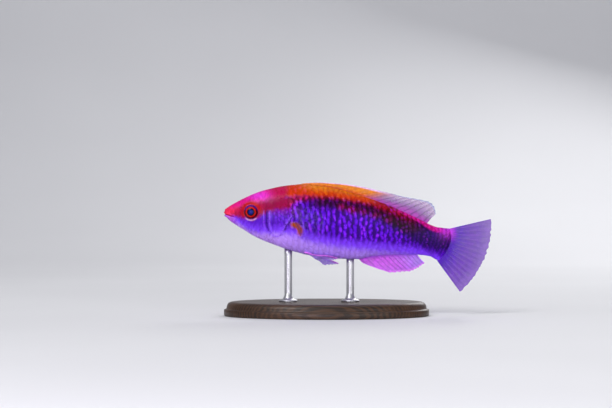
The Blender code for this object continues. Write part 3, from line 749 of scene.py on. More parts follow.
def unwrapBody(station, turn):
    # the skin laid flat: the station across, the girth from belly to belly upwards
    girth = np.sign(turn) * np.interp(np.abs(turn), arcTurns, arcLengths)
    return np.stack([station / skin["unwrap"] + skin["mapStart"], 0.5 + girth * skin["mapReach"]], axis=-1)


def makeSkin():
    # rings of the body surface with its relief, closed by a pole on the lips and a strip at the tail
    domeTurns = np.linspace(math.radians(skin["domeTurn"]), 0, skin["dome"] + 1)[:-1]
    stations = np.concatenate(
        [
            firstStation - body["snoutDome"] * np.sin(domeTurns),
            np.linspace(firstStation, skin["lipsEnd"], skin["lips"])[:-1],
            np.linspace(skin["lipsEnd"], skin["headEnd"], skin["head"])[:-1],
            np.linspace(skin["headEnd"], lastStation, skin["trunk"])[:-1],
            np.linspace(lastStation, lastStation + body["tailBulge"], skin["tailEnd"]),
        ]
    )
    rows, count = len(stations), skin["around"]
    girth = np.linspace(-1, 1, count + 1)
    turns = np.sign(girth) * turnAt(np.abs(girth))
    station, turn = np.meshgrid(stations, turns[:-1], indexing="ij")
    points = skinPoint(station, turn)
    tip = points[0].mean(axis=0) - (skin["tipRise"], 0, 0)
    row, column = np.meshgrid(np.arange(rows - 1), np.arange(count), indexing="ij")
    cornerRow = np.stack([row, row + 1, row + 1, row], -1).reshape(-1)
    cornerColumn = np.stack([column, column, column + 1, column + 1], -1).reshape(-1)
    wallMap = unwrapBody(stations[cornerRow], turns[cornerColumn])

    ring = np.arange(count)
    nose = np.stack([np.full(count, rows * count), ring, (ring + 1) % count], axis=-1)
    noseTurns = np.stack([(turns[ring] + turns[ring + 1]) / 2, turns[ring], turns[ring + 1]], axis=-1)
    noseStations = np.broadcast_to((0.0, stations[0], stations[0]), noseTurns.shape)
    noseMap = unwrapBody(noseStations, noseTurns).reshape(-1, 2)

    # the tail's end is closed by strips from each point to the one across from it
    last = (rows - 1) * count
    half = np.arange(count // 2)
    across = np.stack([half, half + 1, count - half - 1, (count - half) % count], -1)
    strips = [list(dict.fromkeys(strip)) for strip in (last + across).tolist()]
    at = np.concatenate(strips) - last
    stripStart, stripWidth = skin["strip"]
    u = stations[-1] / skin["unwrap"] + stripStart + np.where(at > count // 2, stripWidth, 0)
    stripMap = np.stack([u, 0.01 + np.minimum(at, count - at) / count * 0.98], -1)

    underBack = np.maximum(backLine(np.clip(station, firstStation, lastStation)) - points[..., 2], 0)
    paint = bodyPaint(points[..., 0], points[..., 2], underBack).reshape(-1, 3)
    makePiece(
        "skin",
        np.concatenate([points.reshape(-1, 3), [tip]]),
        gridFaces(rows, count, wrap=True).tolist() + nose.tolist() + strips,
        skinFinish(),
        ("head", "lower_jaw", "gill_cover_left", "gill_cover_right", "trunk", "tail_stalk"),
        maps={"OFBake": np.concatenate([wallMap, noseMap, stripMap])},
        colours={"paint": np.concatenate([paint, [hues["snoutRed"]]])},
    )


def skinFinish():
    # painted colour, softly mottled by noise drawn out upwards, with fine pores under a thin gloss
    finish = Finish("wet_skin", Coat_Weight=0.07, Coat_Roughness=0.12, Specular_IOR_Level=0.07)
    where = finish.place()
    mottle = finish.noise(finish.place(stretch=(1.6, 1.0, 0.45)), 1.1, 4, 0.6)
    fine = finish.noise(where, 6.0, 3, 0.6)
    paint = finish.attribute("paint")
    darker = finish.blend(1.0, paint, (0.68, 0.58, 0.74, 1), "MULTIPLY")
    lighter = finish.blend(0.04, paint, (1.0, 0.5, 1.0, 1))
    tint = finish.blend(finish.step(mottle, 0.3, 0.62), darker, paint)
    tint = finish.blend(finish.step(fine, 0.5, 0.8, 0, 0.6), tint, lighter)
    pores = finish.noise(where, 9.0, 2, 0.5)
    normal = finish.bump(mottle, 0.00004, 0.25, finish.bump(pores, 0.00003, 0.3))
    finish.use(Base_Color=tint, Normal=normal, Roughness=finish.step(fine, 0.2, 0.8, 0.28, 0.42))
    return finish.material


# Scales

coats = {
    "body": {
        "first": 15.0,
        "last": 64.2,
        "rows": 12,
        "steps": ((14, 1.3), (22, 1.5), (44, 1.45), (56, 1.15), (64, 0.95)),
        "curve": -1.1,
        "rise": 0.07,
        "sink": 0.05,  # the root lies this far under the skin
        "length": 2.3,  # in steps
    },
    "head": {
        "first": 10.5,
        "last": 20.0,
        "rows": 17,
        "steps": ((10, 0.95), (20, 1.1)),
        "curve": 0.0,
        "rise": 0.055,
        "sink": 0.045,
        "length": 2.7,
    },
}
scale = {
    "halfHeight": 0.62,  # in rows
    "ahead": 0.4,  # how far a scale's middle lies behind its root, in half lengths
    "along": (-1, -0.6, -0.2, 0.2, 0.55, 0.84, 1),
    "across": (-1, -0.76, -0.28, 0.28, 0.76, 1),
    "thickness": 0.035,
    "bevel": 0.012,
    "stray": (0.09, 0.05),  # spread of the scales' places, in steps along and in rows
    # rounding of a scale's rear and front half, for its places along and across
    "round": ((0.5, 0.22), (0.5, 0.3)),
    "droop": 0.2,  # how much lower the upper and lower edges lie than the middle
    "tailReach": 0.98,  # the last scales end at this share of the tail's curved end
    "girthEnds": (0.006, 0.998),  # shares of half the girth that scales stay between
    "rimPlace": 0.97,  # the rim's lower points take the pattern from this share of the way out
    "patch": (0.44, 0.21),  # half a scale's patch of the UV map, by its step and by its row
    "napeHeight": 3.7,  # scales over this height belong to the nape
    "eyeClear": 3.3,  # none lie nearer to the eye's middle
    "nape": (12.8, 18.4),  # head scales of the nape lie between these stations
    "cheek": (-5.4, 2.0, 14.0),  # the cheek's between these heights, before this station
    "coverTop": 3.4,  # and the gill cover's under this height
    "flankStart": (17.4, -6.4),  # body scales start at this station, or anywhere under this height
    "backStart": 17.6,  # and at this station over the nape's height
    # limits to how far outside the gill cover's outline a root lies, and the place rearAt steps
    # behind it: cheek and flank scales lie farther out than this, the cover's farther in
    "cheekGap": (1.0, 0.25),
    "coverGap": (-0.5, -0.75),
    "flankGap": -1.2,
    "rearAt": 0.7,
}


def scaleRoots(coat, which):
    # columns of roots set off by half a row from one to the next, left out over eye, slit and pad
    step = smoothCurve(coat["steps"])
    columns = [coat["first"]]
    while columns[-1] + step(columns[-1]) < coat["last"]:
        columns.append(columns[-1] + float(step(columns[-1])))
    station = np.repeat(columns, coat["rows"])
    odd = np.repeat(np.arange(len(columns)) % 2, coat["rows"])
    share = (np.tile(np.arange(coat["rows"]), len(columns)) + 0.25 + 0.5 * odd) / coat["rows"]
    station = station + coat["curve"] * 4 * (share - 0.5) ** 2
    place = bodySurface(np.minimum(station, lastStation), turnAt(share))
    x, z = place[:, 0], place[:, 2]
    outside, nape = gillDistance(x, z)[0], z > scale["napeHeight"]
    if which == "head":
        rearOutside = gillDistance(x + scale["rearAt"] * step(station), z)[0]
        offEye = eyeDistance(x, z) > scale["eyeClear"]
        onNape = nape & (x > scale["nape"][0]) & (x < scale["nape"][1])
        cheekFoot, cheekTop, cheekEnd = scale["cheek"]
        onCheek = offEye & (z < cheekTop) & (z > cheekFoot) & (x < cheekEnd)
        onCheek &= (outside > scale["cheekGap"][0]) & (rearOutside > scale["cheekGap"][1])
        onCover = (outside < scale["coverGap"][0]) & (rearOutside < scale["coverGap"][1])
        onCover &= z < scale["coverTop"]
        keep = onNape | onCheek | onCover
    else:
        onFlank = (x > scale["flankStart"][0]) | (z < scale["flankStart"][1])
        behind = (outside > scale["flankGap"]) & onFlank & ~nape
        offPad = segmentDistance(x, z, *pad["bare"]) > pad["bareReach"]
        keep = (behind | nape & (x > scale["backStart"])) & offPad
    return station[keep], share[keep], step(station[keep])


def makeScales(label, side, which):
    # each scale is a rounded plate, its root under the skin and its rear edge raised over the next:
    # height = (rise + sink) * (share of the way back) * (1 - droop * (share aside) squared) - sink,
    # less a bevel round the rim
    coat = coats[which]
    station, share, step = scaleRoots(coat, which)
    amount = len(station)
    relief = headScaleRelief if which == "head" else padRelief
    p, q = np.meshgrid(scale["along"], scale["across"], indexing="ij")
    roundAlong, roundAcross = (np.where(p > 0, *shares) for shares in scale["round"])
    along, across = p * np.sqrt(1 - roundAlong * q**2), q * np.sqrt(1 - roundAcross * p**2)
    jitter = rng.normal(0, 1, (amount, 2))
    s = station[:, None, None] + (along + scale["ahead"]) * (step * coat["length"] / 2)[:, None, None]
    s = s + scale["stray"][0] * (jitter[:, 0] * step)[:, None, None]
    s = np.minimum(s, lastStation + body["tailBulge"] * scale["tailReach"])
    aside = across * scale["halfHeight"] + scale["stray"][1] * jitter[:, 1:, None]
    g = share[:, None, None] + aside / coat["rows"]
    turn = side * turnAt(np.clip(g, *scale["girthEnds"]))
    rim = rimOrder(*p.shape)
    top = (coat["rise"] + coat["sink"]) * (0.5 + 0.5 * along) * (1 - scale["droop"] * across**2)
    top = top - coat["sink"]
    top.reshape(-1)[rim] -= scale["bevel"]
    upper = skinPoint(s, turn, np.broadcast_to(top, s.shape), relief)
    rimS, rimTurn = s.reshape(amount, -1)[:, rim], turn.reshape(amount, -1)[:, rim]
    under = np.broadcast_to(top.reshape(-1)[rim] - scale["thickness"], rimS.shape)
    lower = skinPoint(rimS, rimTurn, under, relief)
    points = np.concatenate([upper.reshape(amount, -1, 3), lower], axis=1)

    perScale = p.size + len(rim)
    starts = np.arange(amount)[:, None] * perScale
    plate = np.concatenate([gridFaces(*p.shape), wallFaces(rim, p.size + np.arange(len(rim)))])
    blocks = [(starts[..., None] + plate).reshape(-1, 4)]
    blocks += [starts + np.array(strip) for strip in underFaces(*p.shape, p.size)]
    faces = [face for block in blocks for face in block.tolist()]
    corners = np.concatenate([block.ravel() for block in blocks])

    # each point's place on its scale, and the scale's patch of the unwrapped skin
    local = [np.append(way, scale["rimPlace"] * way.reshape(-1)[rim]) for way in (along, across)]
    local = np.stack(local, -1)
    root = unwrapBody(station, side * turnAt(share))
    patchLength, patchHeight = scale["patch"]
    half = [step * patchLength / skin["unwrap"], np.full(amount, patchHeight / coat["rows"])]
    half = np.stack(half, -1)
    patch = (root[:, None] + local * half[:, None]).reshape(-1, 2)

    x, z = points[..., 0].ravel(), points[..., 2].ravel()
    core = np.clip(np.concatenate([s.reshape(amount, -1), rimS], axis=1), 0, lastStation)
    paint = bodyPaint(x, z, np.maximum(backLine(core).ravel() - z, 0))
    warmth = np.repeat(rng.uniform(0, 1, amount) ** 2, perScale)[:, None]
    flecks = between(fleckPaint(x, z, paint), hues["fleckRose"], 0.16 * warmth)
    makePiece(
        ("scales_" if which == "body" else "head_scales_") + label,
        points.reshape(-1, 3),
        faces,
        scaleFinish(which),
        maps={"OFBake": patch[corners], "scalePlace": np.tile(0.5 + 0.5 * local, (amount, 1))[corners]},
        values={"tone": np.repeat(rng.uniform(0, 1, amount), perScale), "contrast": fleckContrast(x, z)},
        colours={"paint": paint, "fleck": flecks},
    )
    print(which, "scales", label, amount, "plates,", len(faces), "faces")


def rimOrder(rows, columns):
    # the grid's outer points in one loop
    grid = np.arange(rows * columns).reshape(rows, columns)
    return np.concatenate([grid[:, 0], grid[-1, 1:], grid[-2::-1, -1], grid[0, -2:0:-1]])


def wallFaces(upper, lower):
    # quads between two closed loops of points
    return np.stack([upper, np.roll(upper, -1), np.roll(lower, -1), lower], -1)


def underFaces(rows, columns, first):
    # the underside: strips across the rim's points, the end strips taking in the end rows
    left = list(range(rows))
    rearEnd = list(range(rows - 1, rows + columns - 1))
    right = list(range(2 * rows + columns - 3, rows + columns - 3, -1))
    frontEnd = [*range(right[0], 2 * (rows + columns) - 4), 0]
    strips = [[left[1], *frontEnd[::-1], right[1]]]
    for i in range(1, rows - 2):
        strips.append([left[i], right[i], right[i + 1], left[i + 1]])
    strips.append([left[rows - 2], right[rows - 2], *rearEnd[::-1]])
    return [[first + corner for corner in strip] for strip in strips]


def scaleFinish(which):
    # a bright upright fleck behind each scale's middle, with painted shade before and behind it where the
    # scales overlap
    finish = Finish("scale_coat_" + which, Coat_Weight=0.06, Coat_Roughness=0.1, Specular_IOR_Level=0.06)
    local = finish.add("UVMap", uv_map="scalePlace").outputs[0]
    parts = finish.add("SeparateXYZ")
    finish.feed(parts.inputs[0], local)
    along, across = parts.outputs[0], parts.outputs[1]
    tone, contrast = finish.attribute("tone", "Fac"), finish.attribute("contrast", "Fac")
    paint, fleck = finish.attribute("paint"), finish.attribute("fleck")

    # every scale's fleck is moved, ragged and leaning in its own way, as its tone has it
    ragged = finish.noise(finish.place(stretch=(1.0, 1.0, 0.6)), 2.6, 3, 0.6)
    stray = finish.times(finish.shuffled(tone, 7.3), 0.24)
    lean = finish.shuffled(tone, 13.7)
    shifted = finish.plus(along, finish.times(finish.minus(ragged, 0.5), 0.38))
    shifted = finish.plus(shifted, stray)
    shifted = finish.plus(shifted, finish.times(finish.times(finish.minus(across, 0.5), lean), 0.5))

    # the fleck's share: near its own middle, not too tall, broken up by speckle and clouds
    near = finish.step(finish.apart(shifted, 0.78), 0.01, 0.16, 1.0, 0.0)
    squeezed = finish.times(finish.apart(across, 0.5), finish.step(lean, -0.5, 0.5, 0.75, 1.35))
    tallness = finish.step(squeezed, 0.14, 0.4, 1.0, 0.0)
    speckle = finish.noise(finish.place(stretch=(1.0, 1.0, 0.7)), 1.5, 2, 0.6)
    cloudy = finish.step(finish.noise(finish.place(), 0.3, 2, 0.5), 0.36, 0.6, 0.35, 1.25)
    share = finish.times(near, finish.step(speckle, 0.36, 0.56, 0.3, 1.1))
    share = finish.times(finish.times(share, tallness), finish.step(tone, 0.0, 0.7, 0.2, 1.0))
    share = finish.times(finish.times(share, contrast), cloudy, clamp=True)

    # painted shade: each scale darkened before its fleck and at its rear rim, where the scales overlap
    dark = finish.blend(1.0, paint, (0.26, 0.06, 0.17, 1), "MULTIPLY")
    fore, rear = finish.step(shifted, 0.56, 0.74, 1.0, 0.0), finish.step(shifted, 0.82, 0.97)
    shade = finish.times(finish.maths("MAXIMUM", fore, rear), finish.times(contrast, 0.86))
    shade = finish.times(shade, finish.step(along, 0.15, 0.42))
    tint = finish.blend(share, finish.blend(shade, paint, dark), fleck)
    fine = finish.noise(finish.place(), 8.0, 2, 0.5)
    rings = finish.add("TexWave", wave_type="RINGS", Scale=7.0, Distortion=0.6)
    finish.feed(rings.inputs["Vector"], local)
    normal = finish.bump(rings.outputs["Fac"], 0.000012, 0.12)
    finish.use(Base_Color=tint, Normal=normal, Roughness=finish.step(fine, 0.3, 0.7, 0.26, 0.4))
    return finish.material


# Fins

def raysPattern(u, v, fin):
    # 1 on a ray and 0 between rays; past the spines' share of the fin, each ray parts in two at
    # every place in splits
    phase = (u * fin["rays"]) % 1.0 - 0.5
    offsets = [np.zeros_like(v)]
    spread = fin["branchSpread"]
    for split in fin["splits"]:
        away = spread * np.clip((v - split) / (1 - split), 0, 1) * (u > fin["spines"])
        offsets = [offset + sign * away for offset in offsets for sign in (-1, 1)]
        spread /= fin["branchShrink"]
    slim = fin["rayWidth"] * (1 - fin["rayTaper"] * fade(v, 0.0, 1.0))
    return np.max([bell(phase - offset, slim) for offset in offsets], axis=0)


# rows and perRay are points along and across a ray; membrane, rayRise and rootThickness are in
# millimetres; rayWidth is a share of the way between two rays; splits, spines, notch, ragged and
# rootReach are shares of a ray or of the fin; these are what a fin has unless its own settings say
plainFin = {
    "spines": 0.0,
    "ragged": 0.02,
    "bow": 0.0,
    "wave": 0.0,
    "waves": 2.5,
    "rootReach": 0.22,
    "branchSpread": 0.2,  # how far a ray's first two branches part, as a share like rayWidth
    "branchShrink": 1.8,  # and how many times less the next ones do
    "rayTaper": 0.45,  # the share of its width, and below of its height, that a ray loses to its tip
    "ridgeFall": 0.8,
    "jointDepth": 0.15,  # of the dents across a ray, as a share of its height
}


def finSheet(name, fin, rootPoint, tipPoint, replaced, paintFin, sideways=None):
    # each ray runs from its root to its tip with a slight bow; both faces stand off the sheet by
    # half the membrane's thickness and, on a ray, half the ray's
    fin = {**plainFin, **fin}
    rays, rows = fin["rays"], fin["rows"]
    columns = rays * fin["perRay"] + 1
    u, v = np.meshgrid(np.linspace(0, 1, columns), np.linspace(0, 1, rows), indexing="ij")
    ray = raysPattern(u, v, fin)
    gapShare = 0.5 + 0.5 * np.cos(u * rays * 2 * math.pi)
    wear = rng.uniform(0, fin["ragged"], 3 * rays)
    uneven = np.interp(u, np.linspace(0, 1, 3 * rays), wear)
    reach = v * (1 - (fin["notch"] * gapShare + uneven) * v**2)
    root = rootPoint(u)
    line = tipPoint(u) - root
    points = root + line * reach[..., None]
    bow = (fin["bow"] * 4 * reach * (1 - reach))[..., None]
    points = points + bow * np.cross(line, (0, 1, 0)) / np.linalg.norm(line, axis=-1, keepdims=True)
    points[..., 1] += fin["wave"] * np.sin(u * fin["waves"] * 2 * math.pi + 2.0 * v) * fade(v, 0.15, 1.0)
    if sideways:
        points = points + sideways(u, reach)
    facing = np.cross(np.gradient(points, axis=0), np.gradient(points, axis=1))
    facing /= np.maximum(np.linalg.norm(facing, axis=-1, keepdims=True), 1e-9)
    # soft rays have small dents across them at even steps, in the middle of their length
    joints = fade(np.cos(v * fin["joints"] * 2 * math.pi), 0.55, 0.95) * fade(v, 0.2, 0.35)
    joints = joints * fall(v, 0.5, 0.75) * (u > fin["spines"])
    ridge = ray * (1 - fin["ridgeFall"] * v) * (1 - fin["jointDepth"] * joints)
    thick = fin["membrane"] + fin["rayRise"] * ridge * fade(v, -0.1, 0.08)
    thick = between(thick, fin["rootThickness"], fall(v, 0.0, fin["rootReach"]))
    faceOff = facing * thick[..., None] / 2
    size = columns * rows
    rim = rimOrder(columns, rows)
    backFaces = gridFaces(columns, rows, flip=True) + size
    faces = np.concatenate([gridFaces(columns, rows), backFaces, wallFaces(rim, rim + size)])
    paint, cover = paintFin(u, v, ray)
    place = np.tile(np.stack([u, v], -1).reshape(-1, 2), (2, 1))
    makePiece(
        name,
        np.concatenate([(points + faceOff).reshape(-1, 3), (points - faceOff).reshape(-1, 3)]),
        faces.tolist(),
        finFinish(name + "_web"),
        replaced,
        maps={"finPlace": place[faces.ravel()]},
        values={"cover": np.tile(cover.ravel(), 2)},
        colours={"paint": np.tile(paint.reshape(-1, 3), (2, 1))},
    )
    print(name, len(faces), "faces")


def finFinish(name):
    # the paint, dimmed in clouds, on a sheet as see-through as its cover has it
    finish = Finish(name, Coat_Weight=0.1, Coat_Roughness=0.2, Specular_IOR_Level=0.3)
    paint, cover = finish.attribute("paint"), finish.attribute("cover", "Fac")
    where = finish.place()
    cloud = finish.noise(where, 0.9, 3, 0.55)
    dim = finish.blend(1.0, paint, (0.86, 0.8, 0.9, 1), "MULTIPLY")
    tint = finish.blend(finish.step(cloud, 0.35, 0.65), dim, paint)
    alpha = finish.times(cover, finish.step(cloud, 0.3, 0.7, 0.9, 1.08), clamp=True)
    fine = finish.noise(where, 7.0, 3, 0.6)
    finish.use(Base_Color=tint, Alpha=alpha, Roughness=finish.step(fine, 0.3, 0.7, 0.3, 0.42))
    return finish.material


finHues = palette(
    {
        "orange": "#ea8a02",
        "orangeDeep": "#d24a08",
        "lilac": "#ecc8f2",
        "orchid": "#c850c0",
        "mauve": "#8c48a8",
        "paleBlue": "#a8c8ea",
        "violet": "#5214b8",
        "violetPale": "#7040d8",
        "hotPink": "#dc58f4",
        "pink": "#b878ff",
        "pinkEdge": "#ec80ff",
        "rayDark": "#8834c0",
        "magenta": "#d83cf0",
        "clear": "#a688f0",
        "tailViolet": "#6e34b8",
        "tailClear": "#9a70cc",
        "finBase": "#bc5000",
        "brown": "#5c3470",
    }
)


def edgeFin(name, fin, side, replaced, paintFin):
    # a fin that stands on the body's upper (side 1) or lower (side -1) edge, each ray at its own angle
    length, angle = smoothCurve(fin["length"]), smoothCurve(fin["angle"])
    lift, liftBehind = fin["lift"]

    def rootPoint(u):
        x, z = edgePoint(between(*fin["base"], u), side)
        return np.stack([x, 0 * x, z - side * fin["sunk"]], -1)

    def tipPoint(u):
        x, z = edgePoint(between(*fin["base"], u), side)
        lean = np.radians(angle(u))
        start = z + (lift + liftBehind * fade(u, 0.1, 0.4))
        return np.stack([x + length(u) * np.cos(lean), 0 * x, start + length(u) * np.sin(lean)], -1)

    finSheet(name, fin, rootPoint, tipPoint, replaced, paintFin)


dorsal = {
    "rays": 20,
    "perRay": 18,
    "rows": 90,
    "joints": 14,
    "membrane": 0.12,
    "rayRise": 0.26,
    "rootThickness": 0.85,
    "rootReach": 0.2,
    "rayWidth": 0.15,
    "splits": (0.5,),
    "spines": 0.55,
    "notch": 0.02,
    "ragged": 0.01,
    "bow": 0.12,
    "wave": 0.16,
    "waves": 3.0,
    "sunk": 0.45,  # how deep the roots lie in the body
    "lift": (0.1, 0.2),  # rays start this far over the edge in front, and this much more behind
    "base": (20.3, 56.3),
    "length": ((0, 2.6), (0.11, 4.0), (0.34, 5.7), (0.59, 7.2), (0.82, 7.8), (0.92, 6.0), (1, 3.5)),
    "angle": ((0, 3), (0.11, 6), (0.34, 5.5), (0.59, 6), (0.82, 17), (0.92, 26), (1, 38)),
}


def makeDorsalFin():
    # spines folded low over the back and soft rays that fan up behind them
    def paintFin(u, v, ray):
        soft, far = fade(u, 0.47, 0.65), fade(v, 0.3, 1.0)
        foot = laid(finHues, "orangeDeep", ("orchid", soft))
        paint = laid(
            finHues,
            "orange",
            ("mauve", soft),
            ("lilac", fade(v, 0.74, 0.92) * (1 - soft)),
            ("lilac", far * soft * 0.55),
            ("paleBlue", fade(v, 0.86, 1.0) * soft * 0.8),
            (foot, fall(v, 0.1, 0.5) * between(0.85, 0.6, soft)),
            ("brown", ray**2 * soft * 0.7),
        )
        solid = between(0.95, between(0.6, 0.36, far), soft * fade(v, 0.1, 0.45))
        cover = np.maximum(solid, ray * between(0.95, 0.72, soft))
        return paint, np.maximum(cover, fade(v, 0.88, 0.94) * between(0.95, 0.6, soft))

    edgeFin("fin_dorsal", dorsal, 1, ("dorsal_fin",), paintFin)


anal = {
    "rays": 12,
    "perRay": 20,
    "rows": 90,
    "joints": 14,
    "membrane": 0.12,
    "rayRise": 0.24,
    "rootThickness": 0.7,
    "rayWidth": 0.17,
    "notch": 0.03,
    "splits": (0.55,),
    "spines": 0.25,
    "bow": -0.15,
    "wave": 0.14,
    "sunk": 0.45,
    "lift": (-0.3, 0.0),
    "base": (37.9, 55.3),
    "length": ((0, 2.0), (0.09, 3.8), (0.23, 7.0), (0.5, 7.0), (0.72, 5.7), (1, 3.1)),
    "angle": ((0, -28), (0.12, -39), (1, -40)),
}


def makeAnalFin():
    # three spines and nine soft rays that slope back under the tail half of the body
    def paintFin(u, v, ray):
        paint = laid(
            finHues,
            "hotPink",
            ("pink", 0.9 * fade(u, 0.35, 0.95) + 0.25 * fade(v, 0.5, 1.0)),
            ("rayDark", (0.55 + 0.35 * fade(u, 0.2, 0.5)) * ray**2 * fade(v, 0.1, 0.25)),
            ("pinkEdge", 0.8 * fade(v, 0.86, 0.93)),
            # painted shadow: a darker violet strip along the fin's base, under the body
            ("violetPale", fall(v, 0.0, 0.25) * 0.8),
        )
        cover = between(0.9, 0.68 + 0.12 * fall(u, 0.4, 0.9), fade(v, 0.1, 0.5))
        cover = np.maximum(cover, 0.92 * ray)
        return paint, np.maximum(cover, 0.9 * fade(v, 0.86, 0.95))

    edgeFin("fin_anal", anal, -1, ("anal_fin",), paintFin)


tailFin = {
    "rays": 13,
    "perRay": 26,
    "rows": 128,
    "membrane": 0.11,
    "rayRise": 0.3,
    "rootThickness": 0.75,
    "rootReach": 0.16,
    "rayWidth": 0.12,
    "notch": 0.015,
    "ragged": 0.025,
    "splits": (0.12, 0.45),
    "wave": 0.16,
    "waves": 1.5,
    "joints": 26,
    "sunk": 0.55,
    "rootEdge": 0.15,  # the outer rays' roots lie this far in from the body's edges
    "top": (75.95, -1.7),  # the fin's two corners, as x and z
    "foot": (66.9, -22.55),
    "bulge": 2.6,
}


def makeTailFin():
    # rays from the curved end of the body to a rim that bulges back between the fin's two corners
    top, bottom = backLine(lastStation), bellyLine(lastStation)
    middle, halfDepth = (top + bottom) / 2, (top - bottom) / 2
    upper, lower = np.array(tailFin["top"]), np.array(tailFin["foot"])
    chord = lower - upper
    backward = np.array((-chord[1], chord[0])) / np.linalg.norm(chord)

    def rootPoint(u):
        z = top - tailFin["rootEdge"] - u * (top - bottom - 2 * tailFin["rootEdge"])
        share = (z - middle) / halfDepth
        x = lastStation + sectionLean(lastStation) * (z - middle) + body["tailBulge"] * (1 - share**2)
        return np.stack([x - tailFin["sunk"], 0 * x, z], -1)

    def tipPoint(u):
        flat = upper + u[..., None] * chord + (tailFin["bulge"] * 4 * u * (1 - u))[..., None] * backward
        return np.stack([flat[..., 0], 0 * u, flat[..., 1]], -1)

    def paintFin(u, v, ray):
        far, low = fade(v, 0.3, 1.0), fade(u, 0.4, 0.85)
        edge = fall(np.minimum(u, 1 - u), 0.0, 0.09)
        paint = laid(
            finHues,
            "violet",
            ("tailViolet", fade(v, 0.1, 0.6)),
            ("tailClear", fade(v, 0.7, 1.0) * 0.6),
            ("tailClear", 0.4 * ray * fade(v, 0.05, 0.3)),
            ("magenta", fall(v, 0.03, 0.24) * fall(u, 0.12, 0.45) * 0.8),
        )
        cover = between(0.95, 0.8 + 0.1 * low, fade(v, 0.05, 0.25))
        cover = between(cover, 0.68 + 0.1 * low, far)
        cover = np.maximum(cover, ray * between(0.9, 0.8, far))
        return paint, np.maximum(cover, edge * 0.8)

    finSheet("fin_tail", tailFin, rootPoint, tipPoint, ("tail_fin",), paintFin)


pectoral = {
    "rays": 15,
    "perRay": 18,
    "rows": 100,
    "membrane": 0.08,
    "rayRise": 0.2,
    "rootThickness": 0.6,
    "rootReach": 0.14,
    "rayWidth": 0.17,
    "notch": 0.04,
    "splits": (0.45,),
    "joints": 18,
    "off": 0.25,  # rays leave the pad this far over its skin
    "sunk": 0.75,
    "length": ((0, 10.0), (0.12, 12.6), (0.35, 12.4), (0.7, 9.5), (1, 5.6)),
    # degrees: how far back each ray points, how far up, and how far it curls back on its way
    "sweep": ((0, 14), (0.5, 34), (1, 54)),
    "lift": ((0, 30), (0.5, 10), (1, -14)),
    "curl": 10.0,
}


def makePectoralFin(label, side):
    # rays that stand out from the pad on the flank, swept back, raised and curling backwards
    length, sweep, lift = (smoothCurve(pectoral[key]) for key in ("length", "sweep", "lift"))
    top, foot = np.array(pad["top"]), np.array(pad["foot"])

    def reachPoint(u, reach):
        x, z = np.moveaxis(between(top, foot, u[..., None]), -1, 0)
        swept = np.radians(sweep(u) + pectoral["curl"] * np.clip(reach, 0, 1))
        raised = np.radians(lift(u))
        way = np.stack([np.sin(swept) * np.cos(raised), np.cos(swept) * np.cos(raised), np.sin(raised)], -1)
        start = np.stack([x, flank(x, z) + pad["rise"] + pectoral["off"], z], -1)
        return (start + way * (reach * length(u))[..., None]) * (1, side, 1)

    def rootPoint(u):
        return reachPoint(u, 0 * u) - (0, side * pectoral["sunk"], 0)

    def tipPoint(u):
        return reachPoint(u, 0 * u + 1)

    def sideways(u, reach):
        straight = between(rootPoint(u), tipPoint(u), reach[..., None])
        return (reachPoint(u, reach) - straight) * fade(reach, 0.0, 0.25)[..., None]

    def paintFin(u, v, ray):
        base = fall(v, 0.04, 0.14)
        paint = laid(finHues, "violetPale", ("clear", 0.3 * ray), ("finBase", base))
        cover = between(0.9, 0.03, fade(v, 0.04, 0.12))
        return paint, np.maximum(cover, ray * between(0.34, 0.1, fade(v, 0.1, 0.8)))

    name, replaced = "fin_pectoral_" + label, ("pectoral_fin_" + label,)
    finSheet(name, pectoral, rootPoint, tipPoint, replaced, paintFin, sideways)


pelvic = {
    "rays": 6,
    "perRay": 18,
    "rows": 60,
    "membrane": 0.1,
    "rayRise": 0.22,
    "rootThickness": 0.55,
    "rayWidth": 0.2,
    "notch": 0.05,
    "splits": (0.5,),
    "bow": 0.2,
    "joints": 12,
    "front": (22.9, -10.9),  # ends of the roots on the skin, as x and z
    "rear": (24.6, -11.75),
    "sunk": (0.2, 0.25, 0.1),  # roots lie this far forwards, inwards and up from there
    "bulge": 0.8,
    "clear": (0.35, 0.5),  # the fin's first half is bent this far outwards and down, off the belly
    "tips": {
        "left": ((32.4, 3.3, -12.7), (28.9, 1.6, -13.6)),
        "right": ((32.8, 2.6, -14.5), (28.2, 1.1, -14.9)),
    },
}


def makePelvicFin(label, side):
    # one spine and five rays, fanned from the breast to a line between the two tips
    lead, trail = (np.array(tip) for tip in pelvic["tips"][label])
    front, rear = np.array(pelvic["front"]), np.array(pelvic["rear"])
    forwards, inwards, upwards = pelvic["sunk"]

    def rootPoint(u):
        x, z = np.moveaxis(between(front, rear, u[..., None]), -1, 0)
        return np.stack([x - forwards, side * (flank(x, z) - inwards), z + upwards], -1)

    def tipPoint(u):
        bulge = (pelvic["bulge"] * 4 * u * (1 - u))[..., None] * (1, 0, 0)
        return (between(lead, trail, u[..., None]) + bulge) * (1, side, 1)

    def sideways(u, reach):
        aside, down = pelvic["clear"]
        bent = side * aside * bell(reach - 0.25, 0.25)
        return np.stack([0 * u, bent, -down * bell(reach - 0.3, 0.25)], -1)

    def paintFin(u, v, ray):
        spine = fall(u, 0.06, 0.16) * 0.9
        clear = fade(u, 0.1, 0.5) * 0.9
        paint = laid(finHues, "hotPink", ("clear", clear), ("pinkEdge", spine))
        cover = np.maximum(between(0.85, 0.6, fade(v, 0.05, 0.5)), 0.85 * ray)
        return paint, np.maximum(cover, 0.95 * fall(u, 0.1, 0.2))

    name, replaced = "fin_pelvic_" + label, ("pelvic_fin_" + label,)
    finSheet(name, pelvic, rootPoint, tipPoint, replaced, paintFin, sideways)


# Eyes

